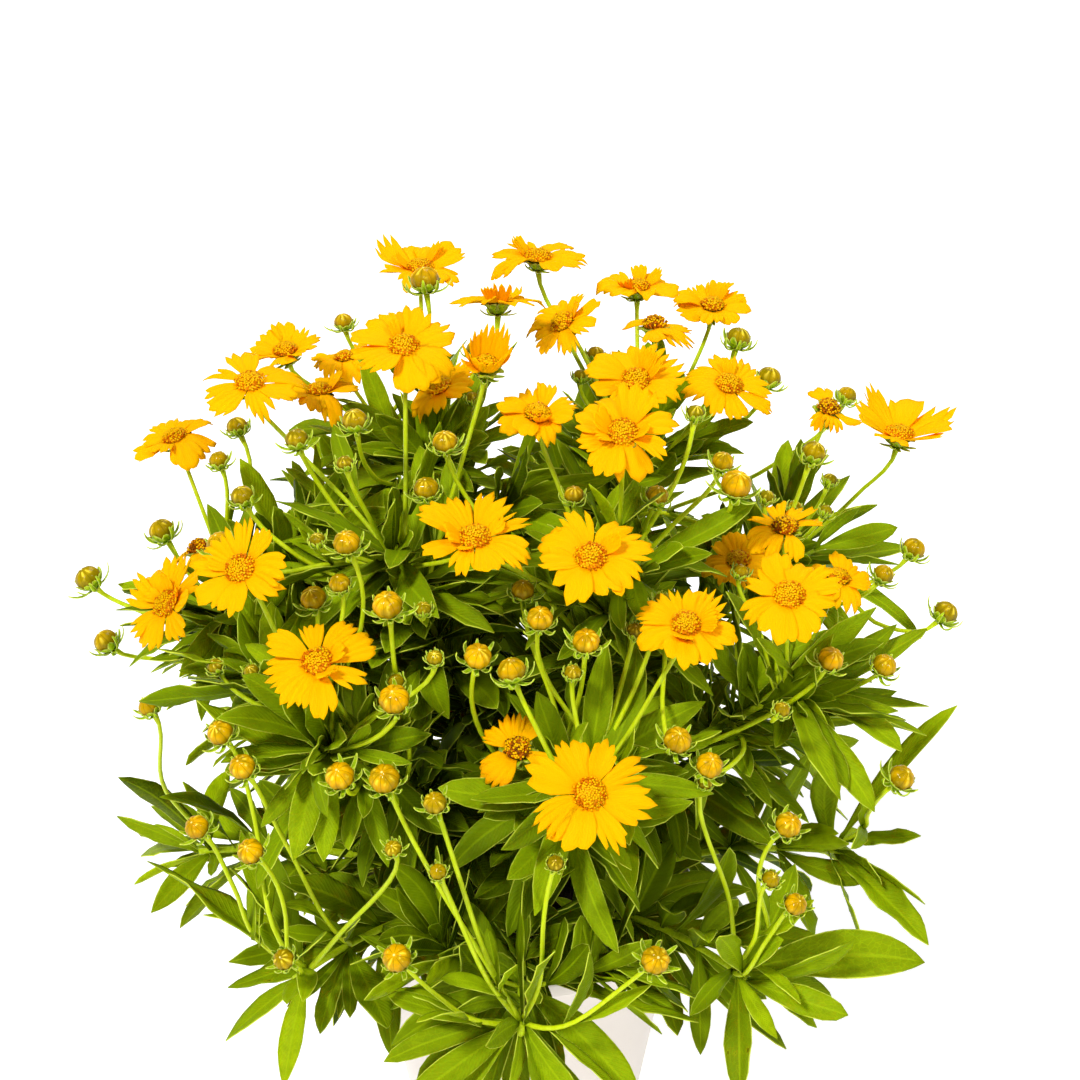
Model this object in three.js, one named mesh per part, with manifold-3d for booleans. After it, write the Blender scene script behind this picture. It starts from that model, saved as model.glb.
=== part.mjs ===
// A coreopsis in full bloom, growing in a plastic plant pot.
// Twenty leafy stems rise from the soil and spread into a dome. Each one carries its pairs of
// leaves, its flower stalks and its buds, and every bloom sits on the cup at the end of a stalk.
// Millimetres and degrees, +Z up. The origin is the centre of the pot's underside.

import * as THREE from 'three';
import { mergeVertices } from 'three/addons/utils/BufferGeometryUtils.js';
import Module from 'manifold-3d';

const wasm = await Module();
wasm.setup();

// ---------------------------------------------------------------- driving dimensions

const GAP = 0.3; // clearance between separate pieces
const POT = {
  height: 140,
  lipRadius: 80,
  lipHeight: 9,
  neckRadius: 76.5,
  baseRadius: 55,
  wall: 2.6,
  floor: 3.5,
  sides: 24,
  drainRadius: 5,
  drainRing: 34,
  drains: 4,
};
const SOIL = { top: 127, rootDepth: 10, holeMargin: 0.9, holeTaper: 0.3 };

// Rings of leafy stems: how many, how far out they are rooted, how far they lean from upright,
// how far they reach from the soil, the heading of the first one, and their leaf joints.
const STEM_RINGS = [
  { count: 9, rootRadius: 44, lean: 62, reach: 122, heading: 270, firstJoint: 0.3, joints: 6 },
  { count: 7, rootRadius: 27, lean: 32, reach: 198, heading: 282, firstJoint: 0.36, joints: 6 },
  { count: 4, rootRadius: 10, lean: 15, reach: 235, heading: 310, firstJoint: 0.42, joints: 7 },
];
const STEM = {
  rootRadius: 2.1,
  tipRadius: 1.7,
  sides: 4,
  rise: 0.45, // share of the reach over which a stem first grows upright
  jointLength: 3,
  lastJoint: 0.97,
  mostHeads: 7,
  steepness: 0.2, // how steeply leaves and stalks leave the skin, as a cosine
};
const STALK = {
  rootRadius: 1.15,
  tipRadius: 1.05,
  segments: 3,
  fork: 32, // degrees from the stem's own direction
  footReach: 0.3, // share of the length that keeps to the direction of the foot
  headReach: 0.34, // and of the head
  headBow: 0.7, // share of the bow that is left near the head
  stemsTried: 5,
  bows: [0, 7, -7, 14, -14, 22, -22],
};
const CUP = {
  bracts: 6,
  tipRadius: 9.2,
  notchRadius: 5,
  depth: 5.6,
  crownDrop: 1.3,
  tipDrop: 3.6,
  notchDrop: 1.2,
};
// A bud's rings, as shares of its radius: how far out and how far above its foot they lie.
const BUD = {
  bracts: 6,
  tip: { reach: 1.45, rise: 0.55 },
  notch: { reach: 0.78, rise: 0.2 },
  waist: { reach: 1, rise: 0.9 },
  shoulder: { reach: 0.74, rise: 1.6 },
  crownRise: 1.95,
  room: 1.3,
};
const DISC = { rimRadius: 6.2, faceRadius: 4.7, faceRise: 3, crownRise: 4.4, top: 0.6, underside: -0.8 };
const RAY = {
  count: 8,
  fill: 0.84, // share of the way round that a ray takes up
  thickness: 1.3,
  ridgeAt: 0.55, // where a blade is thickest above, and below
  keelAt: 0.5,
  teeth: [[-1, 0.93], [-0.5, 0.85], [0, 1], [0.5, 0.85], [1, 0.93]], // across and along the blade
  tornShare: 0.3, // of the rays of a ragged bloom
  ballRadius: 2.4,
};
const LEAF = {
  keel: 1.25,
  rootShare: 0.2, // of the width
  mostTwist: 1.05, // radians
  leastParting: 0.03, // radians
  ballStep: 4,
  ballRadius: 1.1,
};

// How the rays of a bloom stand: their slope at the disc and at their tips.
const HABIT = {
  flat: { rise: 14, tip: -6 },
  cupped: { rise: 30, tip: 24 },
  drooping: { rise: 8, tip: -30 },
  closed: { rise: 68, tip: 74 },
  ragged: { rise: 4, tip: -36 },
};

// Blooms: x, y, z of the disc, radius over the rays, lean from upright, heading of the lean, habit.
const BLOOMS = [
  [-47, 100, 411, 22, 4, 270, 'flat'],
  [7, 75, 427, 24, 3, 90, 'flat'],
  [-10, 15, 433, 23, 20, 95, 'drooping'],
  [-49, -8, 423, 25, 16, 265, 'flat'],
  [-106, 60, 388, 20, 8, 200, 'cupped'],
  [-115, 0, 402, 25, 12, 262, 'drooping'],
  [-89, 28, 384, 20, 5, 100, 'drooping'],
  [-154, 30, 360, 21, 16, 185, 'drooping'],
  [-82, 92, 369, 18, 10, 120, 'drooping'],
  [-14, -30, 425, 19, 14, 300, 'closed'],
  [-36, 30, 385, 19, 22, 200, 'drooping'],
  [18, 30, 416, 20, 34, 205, 'drooping'],
  [53, 105, 399, 21, 4, 80, 'flat'],
  [58, 40, 410, 20, 8, 110, 'ragged'],
  [86, 78, 402, 18, 10, 285, 'flat'],
  [48, -20, 413, 23, 22, 265, 'flat'],
  [41, -69, 414, 23, 30, 262, 'flat'],
  [89, 10, 396, 22, 20, 300, 'drooping'],
  [7, -35, 405, 18, 16, 268, 'flat'],
  [139, 60, 359, 18, 12, 300, 'ragged'],
  [164, 10, 372, 26, 5, 10, 'cupped'],
  [-18, -92, 379, 25, 15, 272, 'flat'],
  [28, -116, 384, 24, 25, 262, 'flat'],
  [111, -40, 354, 20, 10, 265, 'ragged'],
  [108, -95, 354, 25, 26, 268, 'drooping'],
  [135, -38, 328, 16, 12, 320, 'drooping'],
  [65, -125, 359, 22, 22, 275, 'flat'],
  [-149, -54, 325, 24, 44, 216, 'flat'],
  [-112, -91, 364, 24, 36, 242, 'flat'],
  [-141, -8, 325, 17, 20, 150, 'ragged'],
  [-80, -121, 339, 25, 26, 258, 'drooping'],
  [-1, -122, 298, 20, 26, 262, 'ragged'],
  [27, -172, 312, 27, 50, 276, 'flat'],
  [94, -18, 325, 18, 15, 250, 'drooping'],
];

// Buds: x, y, z of the ball's centre and its radius.
const BUDS = [
  [-194, 5, 303, 5.8], [-188, 0, 273, 5.4], [-162, 20, 319, 5.6], [-125, -56, 356, 5.4],
  [-116, -44, 372, 4.6], [-93, -35, 394, 4.6], [-68, -43, 407, 5], [-69, -93, 378, 5.2],
  [-85, -78, 343, 5.2], [-52, -116, 363, 5.8], [-39, -50, 379, 5], [-31, -45, 398, 5],
  [-17, -134, 351, 5.2], [-2, -139, 346, 5.4], [8, -126, 363, 5], [26, -130, 355, 5.2],
  [-49, -139, 334, 5.9], [-71, -147, 303, 5.6], [-53, -153, 306, 5.9], [-122, -114, 301, 5.2],
  [-112, -128, 294, 5.2], [-133, -124, 261, 4.9], [-109, -143, 263, 5.2], [-49, -177, 236, 5.6],
  [54, -176, 234, 5.6], [62, -144, 318, 5.4], [75, -144, 306, 5.2], [127, -93, 323, 5.2],
  [153, -70, 305, 5], [191, 5, 285, 5.4], [176, 16, 312, 5], [160, -5, 311, 4.4],
  [161, -89, 261, 5.4], [108, -140, 274, 5.2], [112, -148, 240, 4.5], [88, -61, 387, 6.2],
  [56, -58, 380, 4.4], [126, -3, 371, 5], [110, 45, 383, 5.2], [96, 50, 400, 5.2],
  [152, 95, 349, 4.4], [-43, 62, 423, 6.2],
];

// Large leaves that show at the edge of the dome: x, y, z of the tip, width.
const SHOW_LEAVES = [
  [174, -110, 178, 26], [184, -64, 150, 20], [195, -20, 251, 10], [183, 18, 262, 10],
  [175, -60, 262, 20], [147, -110, 258, 13], [-176, -60, 240, 13], [-155, -80, 244, 12],
  [-165, -70, 202, 20], [-139, -90, 188, 12], [-128, -100, 170, 15], [14, -172, 235, 14],
  [77, -152, 223, 14],
];
const SHOW = { stemsTried: 4, sags: [0.3, 0.15, 0.45, 0.6, 0.05] };

// Where a blade has its cross sections: the share of its length and of its width there.
const BLADES = { large: [[0.34, 0.66], [0.68, 1]], small: [[0.5, 1]] };

// Leaves at a joint: a large pair on opposite sides, then a small pair of a side shoot between them.
const FOLIAGE = [
  { seed: 41, form: 'large', faces: [0, 2], length: [44, 64], width: [13, 18], spread: [0.8, 1.3] },
  { seed: 83, form: 'small', faces: [1, 3], length: [28, 48], width: [10, 14], spread: [0.7, 1.3] },
];
// How leaves scatter: radians aside and rolled, sag as a share of the length, and how much a
// leaf that found no room shrinks for its next try.
const FAN = { tries: 16, turn: 0.6, roll: 0.4, sag: [0.1, 0.4], shrink: 0.035 };

// Heights that stalks and buds fan out from, low and high in the heart of the plant.
const HEART = { low: 87, high: 130 };

// Room kept to what belongs to another node and to the same one, and the root that needs none.
const CLEARANCE = { other: 1.6, own: 0.3, root: 3, pot: 4 };

const COLOUR = { pot: '#eee3da', soil: '#2c2015', ray: '#ffc400', leaf: '#4c7a16' };

// ---------------------------------------------------------------- small helpers

const UP = new THREE.Vector3(0, 0, 1);
const vec = (x, y, z) => new THREE.Vector3(x, y, z);
const radians = THREE.MathUtils.degToRad;
const mix = THREE.MathUtils.lerp;

function towards(leanDegrees, headingDegrees) {
  const lean = radians(leanDegrees);
  const heading = radians(headingDegrees);
  return vec(Math.sin(lean) * Math.cos(heading), Math.sin(lean) * Math.sin(heading), Math.cos(lean));
}

// The direction that leans from one direction to another by an angle in radians.
function between(from, to, angle) {
  return from.clone().multiplyScalar(Math.cos(angle)).addScaledVector(to, Math.sin(angle)).normalize();
}

// The level direction square to d, to its left.
function leftOf(d) {
  const left = vec(-d.y, d.x, 0);
  return left.lengthSq() < 1e-6 ? vec(0, 1, 0) : left.normalize();
}

// Repeatable draws from 0 to 1.
function seeded(seed) {
  let state = seed >>> 0;
  return () => {
    state = (state + 0x6d2b79f5) >>> 0;
    let mixed = Math.imul(state ^ (state >>> 15), state | 1);
    mixed = (mixed + Math.imul(mixed ^ (mixed >>> 7), mixed | 61)) ^ mixed;
    return ((mixed ^ (mixed >>> 14)) >>> 0) / 4294967296;
  };
}

// ---------------------------------------------------------------- closed surfaces

class Surface {
  constructor() {
    this.points = [];
    this.faces = [];
  }

  point(p) {
    this.points.push(p.x, p.y, p.z);
    return this.points.length / 3 - 1;
  }

  place(index) {
    return vec(...this.points.slice(index * 3, index * 3 + 3));
  }

  ring(points) {
    return points.map((p) => this.point(p));
  }

  // A fan from one point to every edge of a closed ring.
  fan(hub, ring) {
    ring.forEach((corner, i) => this.faces.push(hub, corner, ring[(i + 1) % ring.length]));
  }

  // A flat lid on a ring, seen from the side on which it turns to the left.
  lid(ring) {
    for (let i = 1; i < ring.length - 1; i += 1) this.faces.push(ring[0], ring[i], ring[i + 1]);
  }

  // A band between two rings with as many corners each, the upper one further along the axis.
  // Every side of it is folded so that it bulges outward.
  band(lower, upper) {
    lower.forEach((a, i) => {
      const b = lower[(i + 1) % lower.length];
      const c = upper[(i + 1) % upper.length];
      const d = upper[i];
      if (this.isBefore(d, a, b, c)) this.faces.push(a, b, d, b, c, d);
      else this.faces.push(a, b, c, a, c, d);
    });
  }

  // Whether point p lies on the outer side of the triangle a, b, c.
  isBefore(p, a, b, c) {
    const [at, first, second, third] = [p, a, b, c].map((i) => this.place(i));
    const normal = second.sub(first).cross(third.sub(first));
    return at.sub(first).dot(normal) > 0;
  }

  geometry() {
    const geometry = new THREE.BufferGeometry();
    geometry.setAttribute('position', new THREE.Float32BufferAttribute(this.points, 3));
    geometry.setIndex(this.faces);
    return geometry;
  }
}

function toSolid(geometry) {
  const bare = geometry.clone();
  bare.deleteAttribute('normal');
  bare.deleteAttribute('uv');
  const merged = mergeVertices(bare, 1e-4);
  return new wasm.Manifold(new wasm.Mesh({
    numProp: 3,
    vertProperties: new Float32Array(merged.attributes.position.array),
    triVerts: new Uint32Array(merged.index.array),
  }));
}

function toGeometry(solid) {
  const mesh = solid.getMesh();
  const geometry = new THREE.BufferGeometry();
  geometry.setAttribute('position', new THREE.BufferAttribute(mesh.vertProperties, 3));
  geometry.setIndex(new THREE.BufferAttribute(mesh.triVerts, 1));
  return geometry;
}

// Points of a curve with a steady cross frame, to set rings round.
function framesAlong(curve, places, firstSide) {
  let side = firstSide;
  return places.map((t) => {
    const at = curve.getPoint(t);
    const axis = curve.getTangent(t);
    side = side.clone().addScaledVector(axis, -side.dot(axis)).normalize();
    return { at, axis, side, normal: axis.clone().cross(side) };
  });
}

const evenPlaces = (count) => Array.from({ length: count }, (_, i) => (i + 1) / count);

// A point round a frame, at an angle, a radius and a rise along the axis.
function around(frame, angle, radius, rise = 0) {
  return frame.at.clone()
    .addScaledVector(frame.side, Math.cos(angle) * radius)
    .addScaledVector(frame.normal, Math.sin(angle) * radius)
    .addScaledVector(frame.axis, rise);
}

function polygon(frame, sides, radius, rise = 0, turn = 0) {
  const step = (2 * Math.PI) / sides;
  return Array.from({ length: sides }, (_, i) => around(frame, turn + i * step, radius, rise));
}

// ---------------------------------------------------------------- pot and soil

function lathe(profile, sides) {
  const outline = profile.map(([radius, z]) => new THREE.Vector2(radius, z));
  const geometry = new THREE.LatheGeometry(outline, sides);
  return geometry.rotateX(Math.PI / 2);
}

function uprightRod(x, y, z0, z1, radius, sides) {
  const geometry = new THREE.CylinderGeometry(radius, radius, z1 - z0, sides);
  return geometry.rotateX(Math.PI / 2).translate(x, y, (z0 + z1) / 2);
}

function innerRadius(z) {
  const rise = (z - POT.floor) / (POT.height - POT.floor);
  return mix(POT.baseRadius - POT.wall, POT.neckRadius - POT.wall, rise);
}

function makePot() {
  const lipFoot = POT.height - POT.lipHeight;
  const body = toSolid(lathe([
    [0, 0],
    [POT.baseRadius, 0],
    [mix(POT.baseRadius, POT.neckRadius, lipFoot / POT.height), lipFoot],
    [POT.lipRadius, lipFoot + 1],
    [POT.lipRadius, POT.height - 2],
    [POT.lipRadius - 1.5, POT.height],
    [innerRadius(POT.height), POT.height],
    [innerRadius(POT.floor), POT.floor],
    [0, POT.floor],
  ], POT.sides));
  const drains = Array.from({ length: POT.drains }, (_, i) => {
    const angle = (i / POT.drains) * 2 * Math.PI;
    const x = POT.drainRing * Math.cos(angle);
    const y = POT.drainRing * Math.sin(angle);
    return toSolid(uprightRod(x, y, -1, POT.floor + 1, POT.drainRadius, 6));
  });
  return toGeometry(body.subtract(wasm.Manifold.union(drains)));
}

// The hole that a stem stands in: its lowest stretch, wider all round.
function holeSolid({ frames }) {
  const surface = new Surface();
  const [foot, head] = frames;
  const lower = surface.ring(polygon(foot, STEM.sides, stemRadius(0) + SOIL.holeMargin, -SOIL.holeMargin));
  const upper = surface.ring(polygon(head, STEM.sides, stemRadius(1) + SOIL.holeMargin + SOIL.holeTaper));
  surface.band(lower, upper);
  surface.lid([...lower].reverse());
  surface.lid(upper);
  return toSolid(surface.geometry());
}

function makeSoil(stems) {
  const bottom = POT.floor + GAP;
  const body = toSolid(lathe([
    [0, bottom],
    [innerRadius(bottom) - GAP, bottom],
    [innerRadius(SOIL.top) - GAP, SOIL.top],
    [0, SOIL.top],
  ], POT.sides));
  const holes = stems.map(holeSolid);
  return toGeometry(body.subtract(wasm.Manifold.union(holes)));
}

// ---------------------------------------------------------------- space taken by the plant

// Everything placed so far, as small balls in a grid of cells, so that what comes later keeps clear.
const CELL = 16;
const BALL_STEP = 4;
const taken = new Map();
const cellOf = (value) => Math.floor(value / CELL);
const keyOf = (x, y, z) => `${x},${y},${z}`;

function take(owner, balls) {
  balls.forEach(({ at, radius, free = false }) => {
    const key = keyOf(cellOf(at.x), cellOf(at.y), cellOf(at.z));
    if (!taken.has(key)) taken.set(key, []);
    taken.get(key).push({ at, radius, free, owner });
  });
}

function near(at) {
  const found = [];
  const [cx, cy, cz] = [cellOf(at.x), cellOf(at.y), cellOf(at.z)];
  for (let x = cx - 1; x <= cx + 1; x += 1) {
    for (let y = cy - 1; y <= cy + 1; y += 1) {
      for (let z = cz - 1; z <= cz + 1; z += 1) found.push(...(taken.get(keyOf(x, y, z)) ?? []));
    }
  }
  return found;
}

// Balls that are free are roots, which may touch what belongs to the same owner.
function isClear(owner, balls, ownBloom = '') {
  return balls.every(({ at, radius, free = false }) => near(at).every((ball) => {
    if (ball.owner === ownBloom) return true;
    const own = ball.owner === owner;
    if (own && (free || ball.free)) return true;
    const room = radius + ball.radius + (own ? CLEARANCE.own : CLEARANCE.other);
    return at.distanceToSquared(ball.at) > room * room;
  }));
}

// Balls every few millimetres along straight stretches from point to point.
function ballsAlong(points, radius, freeLength = CLEARANCE.root) {
  const balls = [];
  let walked = 0;
  points.slice(1).forEach((to, i) => {
    const from = points[i];
    const length = from.distanceTo(to);
    const count = Math.ceil(length / BALL_STEP);
    for (let k = 0; k <= count; k += 1) {
      const at = from.clone().lerp(to, k / count);
      balls.push({ at, radius, free: walked + (length * k) / count < freeLength });
    }
    walked += length;
  });
  return balls;
}

// ---------------------------------------------------------------- leafy stems

const stemRadius = (t) => mix(STEM.rootRadius, STEM.tipRadius, t);

// A stem's skin has a short joint wherever leaves and stalks grow. The upper ring of a joint is
// turned half a side from its lower ring, and the eight triangles between them are left open as
// sites, each of which grows a leaf or a stalk or is closed at last.
function layOutStem(ring, index) {
  const heading = ring.heading + (index * 360) / ring.count;
  const root = towards(90, heading).multiplyScalar(ring.rootRadius).setZ(SOIL.top - SOIL.rootDepth);
  const top = root.clone().addScaledVector(towards(ring.lean, heading), ring.reach);
  const bend = root.clone().addScaledVector(UP, ring.reach * STEM.rise);
  const curve = new THREE.QuadraticBezierCurve3(root, bend, top);
  const half = STEM.jointLength / 2 / ring.reach;
  const joints = Array.from({ length: ring.joints }, (_, i) => (
    mix(ring.firstJoint, STEM.lastJoint, i / (ring.joints - 1))
  ));
  const places = [0, ...joints.flatMap((joint) => [joint - half, joint + half]), 1];
  const frames = framesAlong(curve, places, leftOf(towards(90, heading)));
  const surface = new Surface();
  const rings = frames.map((frame, i) => {
    const turn = (Math.floor(i / 2) * Math.PI) / STEM.sides;
    return surface.ring(polygon(frame, STEM.sides, stemRadius(places[i]), 0, turn));
  });
  const sites = [];
  rings.slice(1).forEach((upper, i) => {
    if (i % 2 === 0) surface.band(rings[i], upper);
    else sites.push(...jointSites(surface, rings[i], upper, frames[i].axis, (i - 1) / 2));
  });
  surface.lid([...rings[0]].reverse());
  surface.lid(rings[rings.length - 1]);
  return { top, frames, surface, sites, heads: 0 };
}

// Leaf sites have a level upper edge and a corner below it, and stalk sites stand between them.
function jointSites(surface, lower, upper, axis, joint) {
  return lower.flatMap((corner, face) => {
    const before = (face + upper.length - 1) % upper.length;
    const next = (face + 1) % lower.length;
    return [
      { kind: 'leaf', corners: [upper[face], upper[before], corner] },
      { kind: 'stalk', corners: [corner, lower[next], upper[face]] },
    ].map(({ kind, corners }) => {
      const [a, b, c] = corners.map((i) => surface.place(i));
      const centre = a.clone().add(b).add(c).divideScalar(3);
      const outward = b.clone().sub(a).cross(c.clone().sub(a)).normalize();
      const firstSide = a.clone().sub(centre);
      return { kind, corners, centre, outward, firstSide, axis, joint, face, used: false };
    });
  });
}

function closeSites({ surface, sites }) {
  sites.filter((site) => !site.used).forEach((site) => surface.faces.push(...site.corners));
}

// Stems in order, the one that grows most nearly towards a place first.
function stemsTowards(stems, place) {
  const heart = vec(0, 0, HEART.low);
  const aim = place.clone().sub(heart).normalize();
  const score = (stem) => stem.top.clone().sub(heart).normalize().dot(aim);
  return [...stems].sort((a, b) => score(b) - score(a));
}

// ---------------------------------------------------------------- flower stalks, cups and buds

// A stalk leaves its site aslant and curves up to its head, bowed to one side.
function stalkCurve({ centre, outward, axis }, bow, headBase, headAxis) {
  const span = headBase.clone().sub(centre);
  const reach = span.length();
  const aside = leftOf(span).multiplyScalar(bow);
  const fork = radians(STALK.fork);
  const leave = between(axis, outward, fork);
  const first = centre.clone().addScaledVector(leave, reach * STALK.footReach).add(aside);
  const second = headBase.clone()
    .addScaledVector(headAxis, -reach * STALK.headReach)
    .addScaledVector(aside, STALK.headBow);
  return new THREE.CubicBezierCurve3(centre, first, second, headBase);
}

// Free sites that face a place, the highest joints first.
function sitesFacing(stem, place, kind) {
  return stem.sites
    .filter((site) => !site.used && site.kind === kind && looksAt(site, place, 0))
    .sort((a, b) => b.joint - a.joint || a.face - b.face);
}

// Whether the way from a site to a place leaves the stem's skin steeply enough.
function looksAt({ centre, outward }, place, steepness) {
  return place.clone().sub(centre).normalize().dot(outward) > steepness;
}

// A stalk grows from the nearest stem that has a clear way to the head.
function growStalk(stems, headBase, headAxis, ownBloom) {
  const free = stemsTowards(stems, headBase).filter((stem) => stem.heads < STEM.mostHeads);
  for (const stem of free.slice(0, STALK.stemsTried)) {
    for (const bow of STALK.bows) {
      for (const site of sitesFacing(stem, headBase, 'stalk')) {
        const curve = stalkCurve(site, bow, headBase, headAxis);
        const points = [site.centre, ...evenPlaces(STALK.segments).map((t) => curve.getPoint(t))];
        const balls = ballsAlong(points, STALK.rootRadius);
        if (looksAt(site, points[1], STEM.steepness) && isClear(stem.name, balls, ownBloom)) {
          take(stem.name, balls);
          stem.heads += 1;
          return growTube(stem.surface, site, curve);
        }
      }
    }
  }
  throw new Error(`no clear way for a stalk to ${headBase.toArray()}`);
}

// A three-sided tube out of a site, left open at its end.
function growTube(surface, site, curve) {
  site.used = true;
  const frames = framesAlong(curve, evenPlaces(STALK.segments), site.firstSide);
  let lastRing = site.corners;
  frames.forEach((frame, i) => {
    const radius = mix(STALK.rootRadius, STALK.tipRadius, (i + 1) / STALK.segments);
    const corners = polygon(frame, 3, radius);
    site.firstRing ??= corners;
    const ring = surface.ring(corners);
    surface.band(lastRing, ring);
    lastRing = ring;
  });
  return { surface, end: frames[STALK.segments - 1], lastRing };
}

// The last three-sided ring of a stalk flares to a star of bract tips and notches.
function flare(surface, lastRing, star) {
  const step = star.length / 3;
  lastRing.forEach((corner, j) => {
    for (let m = -step / 2; m < step / 2; m += 1) {
      const a = star[(j * step + m + star.length) % star.length];
      const b = star[(j * step + m + 1 + star.length) % star.length];
      surface.faces.push(corner, b, a);
    }
    surface.faces.push(corner, lastRing[(j + 1) % 3], star[j * step + step / 2]);
  });
}

function starRing(surface, frame, bracts, tip, notch) {
  return surface.ring(Array.from({ length: bracts * 2 }, (_, i) => {
    const [radius, rise] = i % 2 === 0 ? tip : notch;
    return around(frame, (i / bracts) * Math.PI, radius, rise);
  }));
}

// The green cup that a bloom sits on, at the end of its stalk.
function growCup({ surface, end, lastRing }) {
  const crown = CUP.depth - CUP.crownDrop;
  const tip = [CUP.tipRadius, crown - CUP.tipDrop];
  const star = starRing(surface, end, CUP.bracts, tip, [CUP.notchRadius, crown - CUP.notchDrop]);
  flare(surface, lastRing, star);
  surface.fan(surface.point(around(end, 0, 0, crown)), star);
}

// A bud at the end of its stalk: a ring of curled bracts and a closed ball above them.
function growBud({ surface, end, lastRing }, radius) {
  const scaled = ({ reach, rise }) => [radius * reach, radius * rise];
  const star = starRing(surface, end, BUD.bracts, scaled(BUD.tip), scaled(BUD.notch));
  flare(surface, lastRing, star);
  const waist = surface.ring(polygon(end, BUD.bracts, ...scaled(BUD.waist)));
  waist.forEach((corner, k) => {
    const before = star[(2 * k - 1 + star.length) % star.length];
    const after = star[2 * k + 1];
    const next = waist[(k + 1) % waist.length];
    surface.faces.push(before, star[2 * k], corner, star[2 * k], after, corner, after, next, corner);
  });
  const shoulder = surface.ring(polygon(end, BUD.bracts, ...scaled(BUD.shoulder)));
  surface.band(waist, shoulder);
  surface.fan(surface.point(around(end, 0, 0, radius * BUD.crownRise)), shoulder);
}

// Buds look up and away from the heart of the plant.
function budAxis(place) {
  return place.clone().sub(vec(0, 0, HEART.high)).normalize().addScaledVector(UP, 0.6).normalize();
}

// ---------------------------------------------------------------- blooms

// A place on a ray: the distance s out from the disc, along an arc that starts at the rise
// and ends at the tip slope, at an angle round the disc and a height off the blade.
function onRay(frame, ray, s, angle, off = 0) {
  const slope = mix(ray.rise, ray.tip, s / (2 * ray.length));
  const radius = DISC.rimRadius + s * Math.cos(slope) - off * Math.sin(slope);
  return around(frame, angle, radius, s * Math.sin(slope) + off * Math.cos(slope));
}

function layOutBloom([x, y, z, radius, lean, heading, habit], index) {
  const draw = seeded(1000 + index);
  const axis = towards(lean, heading);
  const side = leftOf(axis);
  const frame = { at: vec(x, y, z), axis, side, normal: axis.clone().cross(side) };
  const { rise, tip } = HABIT[habit];
  const rays = Array.from({ length: RAY.count }, () => ({
    length: (radius - DISC.rimRadius) * mix(0.9, 1.06, draw()),
    rise: radians(rise + mix(-7, 7, draw())),
    tip: radians(tip + mix(-14, 12, draw())),
    fill: RAY.fill * mix(0.9, 1.04, draw()),
    torn: habit === 'ragged' && draw() < RAY.tornShare,
  }));
  return { frame, rays, name: `bloom_${String(index + 1).padStart(2, '0')}` };
}

function bloomBalls({ frame, rays }) {
  const balls = [{ at: around(frame, 0, 0, 1), radius: DISC.rimRadius }];
  const step = (2 * Math.PI) / rays.length;
  rays.forEach((ray, i) => {
    for (const part of [0.35, 0.65, 0.95]) {
      for (const aside of part > 0.5 ? [-0.3, 0, 0.3] : [0]) {
        const at = onRay(frame, ray, ray.length * part, (i + 0.5 + aside) * step);
        balls.push({ at, radius: RAY.ballRadius });
      }
    }
  });
  return balls;
}

// The disc and its rays in one skin: every ray is a blade between two corners of the disc's rim,
// thick along its middle, with three teeth at its tip.
function bloomGeometry({ frame, rays }) {
  const surface = new Surface();
  const count = rays.length;
  const rim = surface.ring(polygon(frame, count, DISC.rimRadius, DISC.top));
  const foot = surface.ring(polygon(frame, count, DISC.rimRadius, DISC.underside));
  const face = surface.ring(polygon(frame, count, DISC.faceRadius, DISC.faceRise));
  surface.band(rim, face);
  surface.fan(surface.point(around(frame, 0, 0, DISC.crownRise)), face);
  surface.lid([...foot].reverse());
  rays.forEach((ray, i) => {
    const next = (i + 1) % count;
    if (ray.torn) {
      surface.faces.push(foot[i], foot[next], rim[next], foot[i], rim[next], rim[i]);
      return;
    }
    const step = (2 * Math.PI) / count;
    const middle = (i + 0.5) * step;
    const half = (step / 2) * ray.fill;
    const teeth = RAY.teeth.map(([share, reach]) => (
      surface.point(onRay(frame, ray, ray.length * reach, middle + share * half))
    ));
    const ridge = surface.point(onRay(frame, ray, ray.length * RAY.ridgeAt, middle, RAY.thickness / 2));
    const keel = surface.point(onRay(frame, ray, ray.length * RAY.keelAt, middle, -RAY.thickness / 2));
    surface.fan(ridge, [rim[i], ...teeth, rim[next]]);
    surface.fan(keel, [foot[next], ...[...teeth].reverse(), foot[i]]);
    surface.faces.push(rim[i], foot[i], teeth[0], rim[next], teeth[4], foot[next]);
  });
  return surface.geometry();
}

// ---------------------------------------------------------------- leaves

// A blade lies across the upper edge of its site and turns level as far as its stiff foot lets it.
function bladeSide({ axis, outward }, direction, roll) {
  const natural = axis.clone().cross(outward);
  natural.addScaledVector(direction, -natural.dot(direction)).normalize();
  const level = leftOf(direction);
  const turn = Math.atan2(natural.clone().cross(level).dot(direction), natural.dot(level));
  const held = THREE.MathUtils.clamp(turn + roll, -LEAF.mostTwist, LEAF.mostTwist);
  return natural.applyAxisAngle(direction, held);
}

// A blade that arches from its site and hangs towards its tip.
function layOutLeaf({ form, site, direction, length, width, sag, roll }) {
  const at = (t) => site.centre.clone()
    .addScaledVector(direction, length * t)
    .addScaledVector(UP, -sag * length * t * t);
  const along = (t) => direction.clone().addScaledVector(UP, -2 * sag * t).normalize();
  const side = bladeSide(site, direction, roll);
  const across = (t) => side.clone().addScaledVector(along(t), -side.dot(along(t))).normalize();
  return { sections: BLADES[form], site, at, along, across, length, width };
}

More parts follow.
